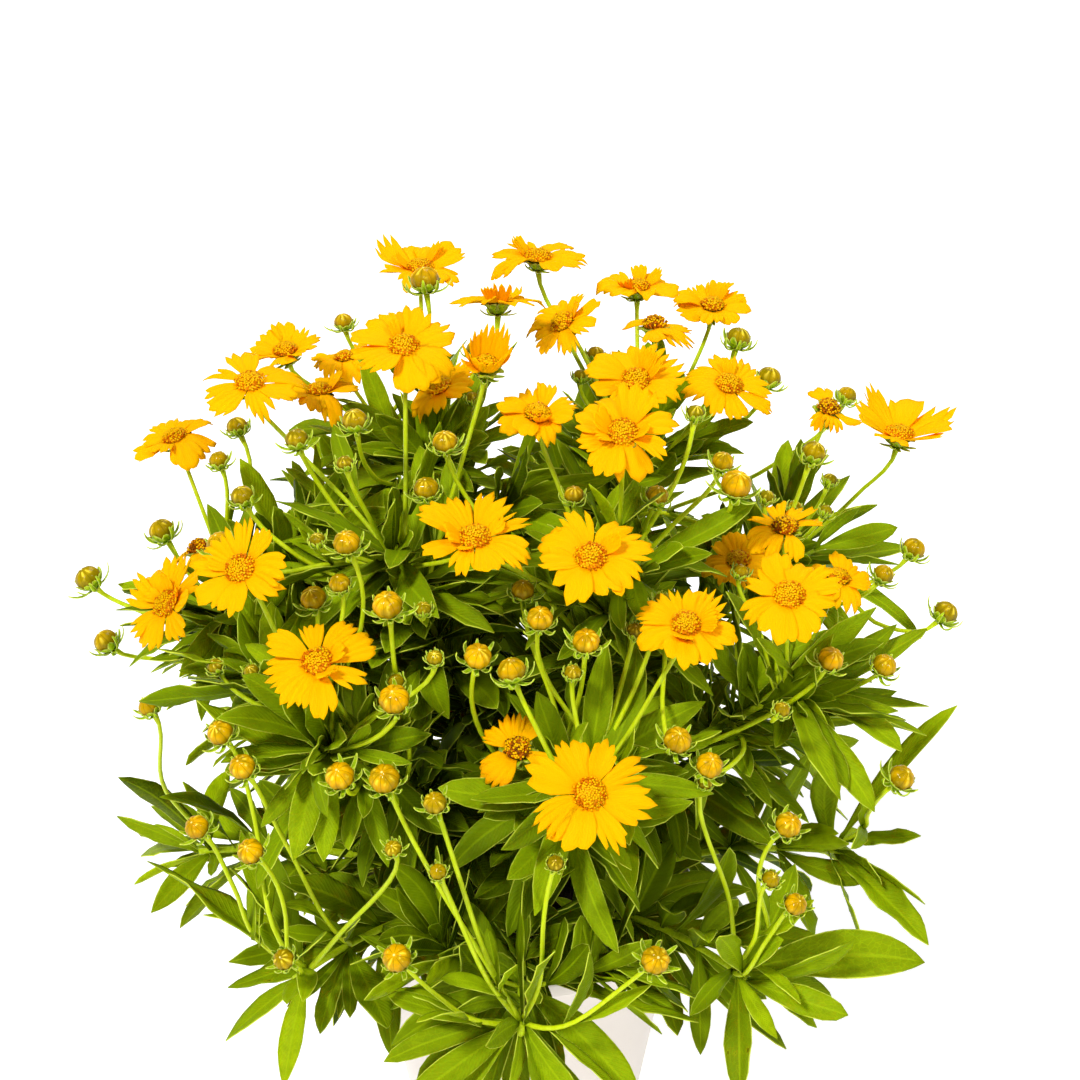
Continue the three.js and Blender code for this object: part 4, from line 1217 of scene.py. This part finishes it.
# How far a ray reaches at least, at the foot of its deepest notch, as a share of its length.
SHORTEST_REACH = 0.3

# Where a ray is rooted, out and up from the middle of its disc, and how far up, in millimetres, the
# rays of the two layers lie.
RAY_ROOT = np.array([DISC["rim"] - 1.4 * MM, -0.1 * MM])
LAYERS = (-0.2, 0.6)

# Where a ray has its rows from foot to tip, and its columns within each tooth.
RAY_ROWS = np.array([0, 0.12, 0.3, 0.5, 0.7, 0.87, 1.0])
TOOTH_COLUMNS = np.array([0, 0.18, 0.5, 0.82])

# A ray's width along its length.
RAY_WIDTH = ((0, 0.25, 0.6, 0.85, 1.0), (0.95, 1.1, 1.08, 1.0, 0.86))

# A disc's dome under its florets.
DOME_RINGS, DOME_SIDES = 7, 24

# A floret: its corners, and its radius in millimetres at three parts of its height.
FLORET_SIDES = 5
FLORET_LEVELS = ((0.0, 0.26), (0.7, 0.32), (1.0, 0.54))
GOLDEN_ANGLE = math.pi * (3 - math.sqrt(5))


def ray_shape(settings, draw, style):
    """The chance shape of a ray. A few hang down, fold up or rise more than the others."""
    low, high = RAY_BREADTHS[style]
    teeth = settings.teeth - draw.choice((0, 1, 1, 1, 2, 2))
    shape = {"teeth": teeth, **drawn(draw, {**RAY_CHANCE, "breadth": (low, high)})}
    for name in RAY_LENGTHS:
        shape[name] *= MM
    chance = draw.random()
    if chance < 0.13:
        shape["droop"] -= draw.uniform(3, 6.5) * MM
    elif chance < 0.24:
        shape.update(fold=draw.uniform(0.4, 0.7), breadth=low * draw.uniform(0.8, 1.0))
    elif chance < 0.32:
        shape["droop"] += draw.uniform(2, 4) * MM
    if style == "old":
        shape.update(drawn(draw, OLD_RAY_CHANCE))
    shape["notch"] *= settings.notch
    return shape


def tooth_line(place, shape, draw):
    """How far a ray reaches at each place across it, counted in teeth, and how near a notch it is."""
    within = np.abs((place % 1) * 2 - 1)
    within[-1] = 1
    corners = np.arange(shape["teeth"] + 1)
    depths = [draw.uniform(0.3, 1.5) for _ in corners]
    longer = [draw.uniform(-0.14, 0.06) for _ in corners]
    notch = shape["notch"] * np.interp(place, corners, depths)
    uneven = np.interp(place, corners, longer)
    across = place / shape["teeth"] * 2 - 1
    reach = shape["reach"] + uneven - shape["round"] * across**2 - notch * within ** shape["bluntness"]
    return np.maximum(reach, SHORTEST_REACH), within


def grow_ray(skin, bloom, ray, settings, draw, style, layer, age, droop=0.0):
    """A toothed blade from the disc, through the middle of its faceted ray to the ray's tip."""
    shape = ray_shape(settings, draw, style)
    teeth = shape["teeth"]
    place = np.append((np.arange(teeth)[:, None] + TOOTH_COLUMNS).reshape(-1), teeth)
    edges = np.cumsum([0] + [draw.uniform(0.7, 1.4) for _ in range(teeth)])
    across = np.interp(place, np.arange(teeth + 1), edges / edges[-1] * 2 - 1)
    reach, within = tooth_line(place, shape, draw)
    half_way, tip = ray["half_way"], ray["tip"]
    bend = 2 * half_way - (RAY_ROOT + tip) / 2
    t = RAY_ROWS[:, None] * reach[None]
    parts = ((1 - t) ** 2, 2 * t * (1 - t), t**2)
    line = sum(part[..., None] * corner for part, corner in zip(parts, (RAY_ROOT, bend, tip)))
    out, rise = line[..., 0], line[..., 1]
    spread = math.pi / RAYS * settings.overlap * shape["breadth"] * np.interp(t, *RAY_WIDTH) * across
    angle = ray["angle"] + spread + shape["aside"] * t
    pleat = (0.55 - within) * shape["pleat"] * smooth(0.05, 0.5, t)
    fold = shape["fold"] * out * np.abs(spread) * smooth(0.0, 0.6, t)
    twist = shape["twist"] * out * spread
    waves = 1 + 0.5 * np.sin(across * 7 + draw.uniform(0, 6))
    flare = shape["flare"] * smooth(0.75, 1.0, t) * waves
    sag = (shape["droop"] + droop) * t**1.7 + shape["arch"] * np.sin(math.pi * t)
    height = rise + layer * MM * smooth(0.0, 0.3, t) + pleat + fold + twist + flare + sag
    grid = place_on(bloom, np.stack([out * np.cos(angle), out * np.sin(angle), height], axis=-1))
    tone = age()
    blade(skin, grid[:, ::-1], settings.thickness,
          across=across[::-1][None], along=RAY_ROWS[:, None], tone=tone)


def place_on(bloom, grid):
    """Places in the frame of a bloom's disc, as places of the plant."""
    return (
        bloom["origin"]
        + bloom["side"] * grid[..., :1]
        + bloom["normal"] * grid[..., 1:2]
        + bloom["axis"] * grid[..., 2:]
    )


def grow_rays(skin, bloom, settings, draw):
    """The rays of a bloom in two layers, and a few short ones beside its disc."""
    node = bloom["node"]
    style = "old" if node in OLD_BLOOMS else "airy" if node in AIRY_BLOOMS else "full"
    droop = draw.uniform(-2.4, 2.0) * MM
    for i, ray in enumerate(bloom["rays"]):
        grow_ray(
            skin, bloom, ray, settings, draw, style, LAYERS[i % 2],
            lambda: draw.uniform(*RAY_AGES[style]), droop,
        )
    if len(bloom["rays"]) == RAYS and style != "old":
        for _ in range(draw.choice((0, 1, 2, 3))):
            grow_inner_ray(skin, bloom, settings, draw)


def grow_inner_ray(skin, bloom, settings, draw):
    """A short ray of the inner row that stands up beside the disc."""
    angle = draw.uniform(0, TURN)
    reach = draw.uniform(7, 11) * MM
    ray = {
        "angle": angle,
        "half_way": np.array([DISC["rim"] + reach * 0.4, reach * 0.42]),
        "tip": np.array([DISC["rim"] + reach * 0.62, reach * draw.uniform(0.6, 0.9)]),
    }
    grow_ray(skin, bloom, ray, settings, draw, "old", LAYERS[1], lambda: 0.0)


def disc_height(part, crown):
    """Height of the disc's dome at a share of its radius."""
    return crown * (1 - part**2.2) + 0.3 * MM


def grow_disc(skin, bloom, settings, draw):
    """The dome and its florets, set in spirals."""
    old = bloom["node"] in OLD_BLOOMS
    crown = DISC["crown"] * (0.8 if old else 0.62)
    part = np.linspace(1, 0.04, DOME_RINGS)
    dome = ring_places(bloom["disc"] * part, disc_height(part, crown) - 0.2 * MM, DOME_SIDES)
    ends = np.array([[0, 0, -0.7 * MM], [0, 0, crown + 0.1 * MM]])
    add_turned(skin, place_on(bloom, dome), place_on(bloom, ends), tone=0.5 if old else 0.1, along=0.5)
    for i in range(settings.florets):
        part = math.sqrt((i + 0.5) / settings.florets)
        out = bloom["disc"] * part
        tall = (0.9 + 0.9 * part + draw.uniform(-0.25, 0.5)) * MM
        tone = draw.uniform(0, 0.12)
        if draw.random() < (0.5 if old else 0.02 + 0.3 * smooth(0.5, 0.75, part)):
            tone = draw.uniform(0.55, 1.0) if old else draw.uniform(0.35, 0.6)
        out += draw.uniform(-0.2, 0.2) * MM
        angle = i * GOLDEN_ANGLE + draw.uniform(-0.12, 0.12) * (1 - part)
        rise = disc_height(part, crown) - 0.3 * MM
        grow_floret(skin, bloom, out, angle, rise, 0.65 * part**2 + draw.uniform(-0.2, 0.2), tall, tone)


def grow_floret(skin, bloom, out, angle, rise, lean, tall, tone):
    """A tiny tube that opens to a star of five points."""
    corners = angle * 3 + np.arange(FLORET_SIDES) / FLORET_SIDES * TURN
    rings = [
        np.stack([
            radius * MM * np.cos(corners),
            radius * MM * np.sin(corners),
            np.full(FLORET_SIDES, level * tall),
        ], axis=-1)
        for level, radius in FLORET_LEVELS
    ]
    local = np.concatenate([*rings, [[0, 0, tall * 0.72]]])
    x, z = local[:, 0].copy(), local[:, 2].copy()
    local[:, 0] = x * math.cos(lean) + z * math.sin(lean) + out
    local[:, 2] = z * math.cos(lean) - x * math.sin(lean)
    places = np.stack([
        local[:, 0] * math.cos(angle) - local[:, 1] * math.sin(angle),
        local[:, 0] * math.sin(angle) + local[:, 1] * math.cos(angle),
        local[:, 2] + rise,
    ], axis=-1)
    start = skin.size
    along = np.concatenate([np.repeat([level for level, _ in FLORET_LEVELS], FLORET_SIDES), [0.3]])
    skin.add(place_on(bloom, places), grid_faces(3, FLORET_SIDES, closed=True), tone=tone, along=along)
    ring = np.arange(FLORET_SIDES)
    skin.faces.append(fan(2 * FLORET_SIDES + ring, 3 * FLORET_SIDES) + start)
    skin.faces.append(ring[::-1][None] + start)


# ---------------------------------------------------------------- stems and their foliage

def place_in_rings(index):
    """The ring of stems that a stem stands in, and its place there."""
    for ring in STEM_RINGS:
        if index < ring["count"]:
            return ring, index
        index -= ring["count"]
    raise ValueError("there is no such stem")


def stem_line(index):
    """Places and directions along the stem with this place in the rings of stems, and its side."""
    ring, place = place_in_rings(index)
    heading = math.radians(ring["heading"] + place * 360 / ring["count"])
    lean = math.radians(ring["lean"])
    level = np.array([math.cos(heading), math.sin(heading), 0.0])
    root = level * ring["root"] + UP * STEM_FOOT
    top = root + (level * math.sin(lean) + UP * math.cos(lean)) * ring["reach"]
    bend = root + UP * ring["reach"] * STEM_RISE
    t = np.linspace(0, 1, STEM_PLACES)[:, None]
    at = (1 - t) ** 2 * root + 2 * t * (1 - t) * bend + t**2 * top
    along = unit((1 - t) * (bend - root) + t * (top - bend))
    return at, along, np.cross(level, UP)


def grow_shoots(leaves, lines, crowd):
    """Side shoots, each from the stem's joint that is nearest below its top, with leaves all along."""
    shoots = [[] for _ in lines]
    for number, row in enumerate(SHOOTS):
        draw = random.Random(f"shoot {number}")
        top = np.array(row) * MM
        efforts = [np.min(stalk_effort(at[JOINTS], top)) for at, _, _ in lines]
        host = int(np.argmin(efforts))
        at, along, _ = lines[host]
        start = nearest_joint(at, top)
        middle = (at[start] + top) / 2 + along[start] * np.linalg.norm(top - at[start]) * 0.12
        path = [at[start], middle, top]
        shoots[host].append(path)
        line, headings = smooth_path(path, np.linspace(0.25, 1, 12))
        for _ in range(SHOOT_LEAVES):
            crowd.add_leaf(
                leaves[STEM_NODES[host]], SHOOT_LEAF["tries"],
                lambda: leaf_from(line, headings, SHOOT_LEAF, draw),
            )
    return shoots


def add_more_leaves(leaves, heads, lines, crowd, settings):
    """Leaves of side shoots, which fill the plant round the leaves of the frame."""
    for index, node in enumerate(STEM_NODES):
        draw = random.Random(f"{node} more leaves")
        ring, _ = place_in_rings(index)
        beside = ring["beside"] * settings.fullness
        for leaf in list(leaves[node]):
            for _ in range(int(beside) + (draw.random() < beside % 1)):
                crowd.add_leaf(leaves[node], SIDE_LEAF_TRIES, lambda: side_leaf(leaf, draw))
        at, along, _ = lines[index]
        bare = int(len(at) * ring["bare"])
        for _ in range(round(ring["extra"] * settings.fullness * FULLER.get(node, 1))):
            crowd.add_leaf(
                leaves[node], STEM_LEAF["tries"],
                lambda: leaf_from(at[bare:], along[bare:], STEM_LEAF, draw),
            )
        for head in heads[node]["cups"] + heads[node]["buds"]:
            low, low_along = smooth_path(head["path"], np.linspace(0.04, 0.36, 7))
            for _ in range(settings.on_stalks):
                crowd.add_leaf(
                    leaves[node], STALK_LEAF["tries"],
                    lambda: leaf_from(low, low_along, STALK_LEAF, draw),
                )


# ---------------------------------------------------------------- operators

def settings_of(context):
    return context.scene.coreopsis


class COREOPSIS_OT_leafy_stems(bpy.types.Operator):
    """Grow the leafy stems with their leaves, stalks, cups and buds"""

    bl_idname = "coreopsis.leafy_stems"
    bl_label = "Leafy stems"

    def execute(self, context):
        settings = settings_of(context)
        paints = {
            "leaves": leaf_material(settings.leaf),
            "stalks": stalk_material(settings.stalk),
            "bracts": bract_material(settings.stalk),
            "buds": bud_material(settings.bud),
        }
        solids = {node: Solid(node) for node in STEM_NODES}
        leaves = {node: read_leaves(solid) for node, solid in solids.items()}
        heads = {node: {"cups": read_heads(solid, CUP_RINGS), "buds": read_heads(solid, BUD_RINGS)}
                 for node, solid in solids.items()}
        lines = [stem_line(i) for i in range(len(STEM_NODES))]
        crowd = Crowd()
        shoots = grow_shoots(leaves, lines, crowd)
        add_more_leaves(leaves, heads, lines, crowd, settings.leaf)
        small_buds = share_small_buds(lines)
        for index, node in enumerate(STEM_NODES):
            skins = grow_stem(
                node, leaves[node], heads[node], lines[index], shoots[index], small_buds[index], settings
            )
            for kind, skin in skins.items():
                slot = "ray" if kind == "buds" else "leaf"
                skin.piece(f"{kind}_{node[-2:]}", paints[kind], slot, node)
        return {"FINISHED"}


def grow_stem(node, leaves, heads, line, shoots, small_buds, settings):
    """The leaves, stalks, bracts and balls of one stem, each kind in a skin of its own."""
    draw = random.Random(f"{node} growth")
    foliage = Skin("across", "along", "tone", "glow", "under")
    stalks = Skin("tone")
    bracts = Skin("across", "along", "tone")
    balls = Skin("across", "along", "tone")
    for leaf in leaves:
        grow_leaf(foliage, leaf, settings.leaf, draw)
    at, along, side = line
    radii = np.linspace(*STEM_RADII, len(at))
    tube(stalks, at, along, radii, side, STEM_RIBS, STEM_GROOVES, tone=0.6)
    for cup in heads["cups"]:
        tone = draw.uniform(0, 0.65)
        grow_stalk(stalks, cup["path"], cup["axis"], settings.stalk, tone, straight=0.7)
        grow_cup(bracts, cup, draw)
    for bud in heads["buds"]:
        tone, sway = draw.uniform(0, 0.3), draw.uniform(-0.05, 0.05)
        grow_stalk(stalks, bud["path"], bud["axis"], settings.stalk, tone, sway=sway)
        foot = bud["path"][-1]
        ripeness = ripeness_at(foot, bud["radius"], draw)
        grow_bud(balls, bracts, foot, bud["axis"], bud["radius"], ripeness, settings.bud, draw)
    for path in shoots:
        grow_stalk(stalks, path, unit(path[-1] - path[-2]), settings.stalk, tone=0.5)
    for bud in small_buds:
        grow_small_bud(stalks, bracts, balls, line, bud, settings, draw)
    return {"leaves": foliage, "stalks": stalks, "bracts": bracts, "buds": balls}


class COREOPSIS_OT_blooms(bpy.types.Operator):
    """Grow the rays and the disc of every bloom"""

    bl_idname = "coreopsis.blooms"
    bl_label = "Blooms"

    def execute(self, context):
        settings = settings_of(context).bloom
        ray_paint = ray_material(settings)
        floret_paint = floret_material(settings)
        for node in BLOOM_NODES:
            draw = random.Random(f"{node} rays")
            bloom = read_bloom(node)
            rays = Skin("across", "along", "tone", "under")
            grow_rays(rays, bloom, settings, draw)
            rays.piece(f"rays_{node[-2:]}", ray_paint, "ray", node)
            disc = Skin("along", "tone")
            grow_disc(disc, bloom, settings, draw)
            disc.piece(f"disc_{node[-2:]}", floret_paint, "ray", node)
        return {"FINISHED"}


class COREOPSIS_OT_pot(bpy.types.Operator):
    """Turn the pot, with its rolled lip and its drain holes"""

    bl_idname = "coreopsis.pot"
    bl_label = "Pot"

    def execute(self, context):
        settings = settings_of(context).pot
        turn_pot(settings).piece("pot_shell", pot_material(settings), "pot", "pot")
        return {"FINISHED"}


POT_WALL = 2.6 * MM
POT_FLOOR = 3.5 * MM
POT_BASE = 55 * MM
POT_NECK = 76.5 * MM
FOOT_RISE = 0.6 * MM

# Drain holes: their radius, the rings of places that frame them and the columns beside their middle.
DRAIN = {"radius": 4.4 * MM, "rings": (28.5 * MM, 34 * MM, 39.5 * MM), "count": 4, "beside": 4}


def arc(centre, radius, start, end, count):
    """Places of the pot's outline along a part of a circle."""
    angles = np.linspace(start, end, count)
    return [(centre[0] + radius * math.cos(a), centre[1] + radius * math.sin(a)) for a in angles]


def pot_profile(height, lip_radius, lip):
    """The pot's outline from the middle of its underside, round the lip, to the middle of its floor."""
    lip_foot = height - lip
    neck = POT_BASE + (POT_NECK - POT_BASE) * lip_foot / height
    inner_top = POT_NECK - POT_WALL
    inner_base = POT_BASE - POT_WALL
    return np.array([
        *((ring, FOOT_RISE) for ring in DRAIN["rings"]),
        (POT_BASE - 6 * MM, FOOT_RISE), (POT_BASE - 5 * MM, 0.0),
        *arc((POT_BASE - 2 * MM, 2 * MM), 2 * MM, -math.pi / 2, 0, 5),
        (neck, lip_foot - 1 * MM), (neck + 0.4 * MM, lip_foot),
        *arc((lip_radius - 1.2 * MM, lip_foot + 1.4 * MM), 1.2 * MM, -math.pi / 2, 0, 4),
        *arc((lip_radius - 2 * MM, height - 2 * MM), 2 * MM, 0, math.pi / 2, 6),
        *arc((inner_top + 1 * MM, height - 1 * MM), 1 * MM, math.pi / 2, math.pi, 4),
        *arc((inner_base - 2 * MM, POT_FLOOR + 2 * MM), 2 * MM, 0, -math.pi / 2, 4),
        *((ring, POT_FLOOR) for ring in reversed(DRAIN["rings"])),
    ])


def turn_pot(settings):
    """The pot's profile, turned round the upright axis, with drain holes through its floor."""
    _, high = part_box("pot")
    profile = pot_profile(high.z, high.x, settings.lip)
    rows, sides = len(profile), settings.sides
    rings = ring_places(profile[:, 0], profile[:, 1], sides)
    skin = Skin()
    add_turned(skin, rings, [[0, 0, FOOT_RISE], [0, 0, POT_FLOOR]])
    grid = skin.faces[0].reshape(rows - 1, sides, 4)
    kept = np.ones((rows - 1, sides), bool)
    for i in range(DRAIN["count"]):
        middle = i * sides // DRAIN["count"]
        columns = [(middle + step) % sides for step in range(-DRAIN["beside"], DRAIN["beside"] + 1)]
        for row in (0, 1, rows - 3, rows - 2):
            kept[row, columns[:-1]] = False
        add_drain(skin, rings, columns)
    skin.faces[0] = grid[kept]
    return skin


def add_drain(skin, rings, columns):
    """A round hole through the floor, joined to the corners that frame it above and below."""
    rows, sides = rings.shape[:2]
    out = [(2, column) for column in columns[::-1]]
    frame_below = [(0, column) for column in columns] + [(1, columns[-1])] + out + [(1, columns[0])]
    frame_above = [(rows - 1 - row, column) for row, column in frame_below]
    middle = rings[1, columns[len(columns) // 2]]
    rims = []
    for corners in (frame_below, frame_above):
        places = np.array([rings[corner] for corner in corners])
        centre = np.array([middle[0], middle[1], places[0, 2]])
        rims.append(centre + unit(places - centre) * DRAIN["radius"])
    start = skin.size
    count = len(frame_below)
    skin.add(np.concatenate(rims), np.zeros((0, 4), int))
    below, above = (np.array([row * sides + column for row, column in corners])
                    for corners in (frame_below, frame_above))
    ring = np.arange(count)
    loops = (below, start + ring, start + count + ring, above)
    for lower, upper in zip(loops, loops[1:]):
        skin.faces.append(np.stack([lower, np.roll(lower, -1), np.roll(upper, -1), upper], axis=-1))


class COREOPSIS_OT_soil(bpy.types.Operator):
    """Fill the pot with crumbly soil"""

    bl_idname = "coreopsis.soil"
    bl_label = "Soil"

    def execute(self, context):
        settings = settings_of(context).pot
        draw = random.Random("soil")
        soil = Skin("tone")
        low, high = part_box("soil")
        heap_soil(soil, high.x, low.z, high.z, draw)
        for _ in range(settings.crumbs):
            add_crumb(soil, high.x, high.z, draw)
        soil.piece("soil_bed", soil_material(settings), "soil", "soil")
        return {"FINISHED"}


# How far the soil's mean level is below its highest crumbs, and the grid and waves of its top.
SOIL_SINK = 1.2 * MM
SOIL_RINGS, SOIL_SIDES, SOIL_WAVES = 22, 96, 9
CRUMB_CORNERS = ((1, 0, 0), (0, 1, 0), (-1, 0, 0), (0, -1, 0), (0, 0, 1), (0, 0, -1))
CRUMB_FACES = ((0, 1, 4), (1, 2, 4), (2, 3, 4), (3, 0, 4), (1, 0, 5), (2, 1, 5), (3, 2, 5), (0, 3, 5))


def heap_soil(skin, radius, bottom, top, draw):
    """The body of the soil, with an uneven top."""
    part = np.linspace(1, 0.03, SOIL_RINGS)
    waves = [
        (draw.uniform(30, 150), draw.uniform(0, 6), draw.uniform(0, 6.3)) for _ in range(SOIL_WAVES)
    ]
    surface = ring_places(part * radius, np.full(len(part), top - SOIL_SINK), SOIL_SIDES)
    x, y = surface[..., 0], surface[..., 1]
    bumps = sum(np.sin(f * (x * math.cos(a) + y * math.sin(a)) * 2 + p) for f, a, p in waves)
    surface[..., 2] += bumps * 0.35 * MM
    foot = ring_places([POT_BASE - POT_WALL - 0.6 * MM], [bottom], SOIL_SIDES)
    add_turned(skin, np.concatenate([foot, surface]), [[0, 0, bottom], [0, 0, top - SOIL_SINK]])


def add_crumb(skin, radius, top, draw):
    """An angular crumb of peat or a chip of bark."""
    out = (radius - 4 * MM) * math.sqrt(draw.random())
    angle = draw.uniform(0, TURN)
    size = draw.uniform(0.6, 2.0) * MM
    stretch = np.array([draw.uniform(0.6, 1.8), draw.uniform(0.6, 1.2), draw.uniform(0.4, 0.9)])
    corners = np.array(CRUMB_CORNERS, float)
    corners *= np.array([[draw.uniform(0.7, 1.3)] for _ in corners]) * stretch * size
    spin = draw.uniform(0, TURN)
    x, y = corners[:, 0].copy(), corners[:, 1].copy()
    corners[:, 0] = x * math.cos(spin) - y * math.sin(spin) + out * math.cos(angle)
    corners[:, 1] = x * math.sin(spin) + y * math.cos(spin) + out * math.sin(angle)
    corners[:, 2] += top - SOIL_SINK + draw.uniform(-0.2, 0.7) * size
    skin.add(corners, CRUMB_FACES, tone=float(draw.random() < 0.25) * draw.uniform(0.4, 1))


class COREOPSIS_OT_stage(bpy.types.Operator):
    """Set up the floor, the lights and the camera"""

    bl_idname = "coreopsis.stage"
    bl_label = "Stage"

    def execute(self, context):
        settings = settings_of(context).stage
        add_floor(settings)
        for name, place in LIGHTS.items():
            add_light(name, *place, getattr(settings, name))
        add_sky(context.scene, settings)
        add_camera(context.scene)
        context.scene.view_settings.view_transform = "Standard"
        return {"FINISHED"}


FLOOR_SIZE = 60
CAMERA = {"place": (8 * MM, -952.6 * MM, 875 * MM), "pitch": 30, "lens": 83.3, "sensor": 36}

# Soft lights: heading from the front to the right, height and softness, in degrees.
LIGHTS = {"key": (-38, 52, 9), "fill": (42, 44, 14), "back": (170, 50, 24)}


def add_floor(settings):
    """A pale floor that reaches far past the plant."""
    bpy.ops.mesh.primitive_plane_add(size=FLOOR_SIZE)
    floor = bpy.context.object
    floor.name = "floor"
    paint = Shading(
        "floor", 0.9, settings.floor, Emission_Color=(1, 1, 1), Emission_Strength=settings.glow
    )
    floor.data.materials.append(paint.done())


def add_light(name, heading, height, softness, strength):
    """A wide soft light, as far off as the sun."""
    lamp = bpy.data.lights.new(name, "SUN")
    lamp.energy = strength
    lamp.angle = math.radians(softness)
    light = bpy.data.objects.new(name, lamp)
    bpy.context.scene.collection.objects.link(light)
    light.rotation_euler = (math.radians(90 - height), 0, math.radians(heading))


def add_sky(scene, settings):
    """Even, pale surroundings."""
    world = bpy.data.worlds.new("studio")
    world.use_nodes = True
    background = world.node_tree.nodes["Background"]
    background.inputs["Color"].default_value = (1, 1, 1, 1)
    background.inputs["Strength"].default_value = settings.sky
    scene.world = world


def add_camera(scene):
    """A camera that looks along +Y and down on the blooms."""
    lens = bpy.data.cameras.new("camera")
    lens.lens = CAMERA["lens"]
    lens.sensor_width = CAMERA["sensor"]
    lens.clip_start = 50 * MM
    camera = bpy.data.objects.new("camera", lens)
    scene.collection.objects.link(camera)
    camera.location = CAMERA["place"]
    camera.rotation_euler = (math.radians(90 - CAMERA["pitch"]), 0, 0)
    scene.camera = camera


class COREOPSIS_PT_panel(bpy.types.Panel):
    """Buttons and settings of the coreopsis"""

    bl_idname = "COREOPSIS_PT_panel"
    bl_label = "Coreopsis"
    bl_space_type = "VIEW_3D"
    bl_region_type = "UI"
    bl_category = "Coreopsis"

    def draw(self, context):
        settings = settings_of(context)
        for operator, name in PANEL_ROWS:
            box = self.layout.box()
            box.operator(operator.bl_idname)
            group = getattr(settings, name)
            for setting in group.__annotations__:
                box.prop(group, setting)


PANEL_ROWS = (
    (COREOPSIS_OT_pot, "pot"),
    (COREOPSIS_OT_soil, "pot"),
    (COREOPSIS_OT_leafy_stems, "leaf"),
    (COREOPSIS_OT_leafy_stems, "stalk"),
    (COREOPSIS_OT_leafy_stems, "bud"),
    (COREOPSIS_OT_blooms, "bloom"),
    (COREOPSIS_OT_stage, "stage"),
)
CLASSES = (
    LeafSettings,
    StalkSettings,
    BloomSettings,
    BudSettings,
    PotSettings,
    StageSettings,
    CoreopsisSettings,
    COREOPSIS_OT_pot,
    COREOPSIS_OT_soil,
    COREOPSIS_OT_leafy_stems,
    COREOPSIS_OT_blooms,
    COREOPSIS_OT_stage,
    COREOPSIS_PT_panel,
)


def register():
    for cls in CLASSES:
        bpy.utils.register_class(cls)
    bpy.types.Scene.coreopsis = bpy.props.PointerProperty(type=CoreopsisSettings)


def unregister():
    del bpy.types.Scene.coreopsis
    for cls in reversed(CLASSES):
        bpy.utils.unregister_class(cls)


def main():
    register()
    bpy.ops.coreopsis.pot()
    bpy.ops.coreopsis.soil()
    bpy.ops.coreopsis.leafy_stems()
    bpy.ops.coreopsis.blooms()
    bpy.ops.coreopsis.stage()


if __name__ == "__main__":
    main()
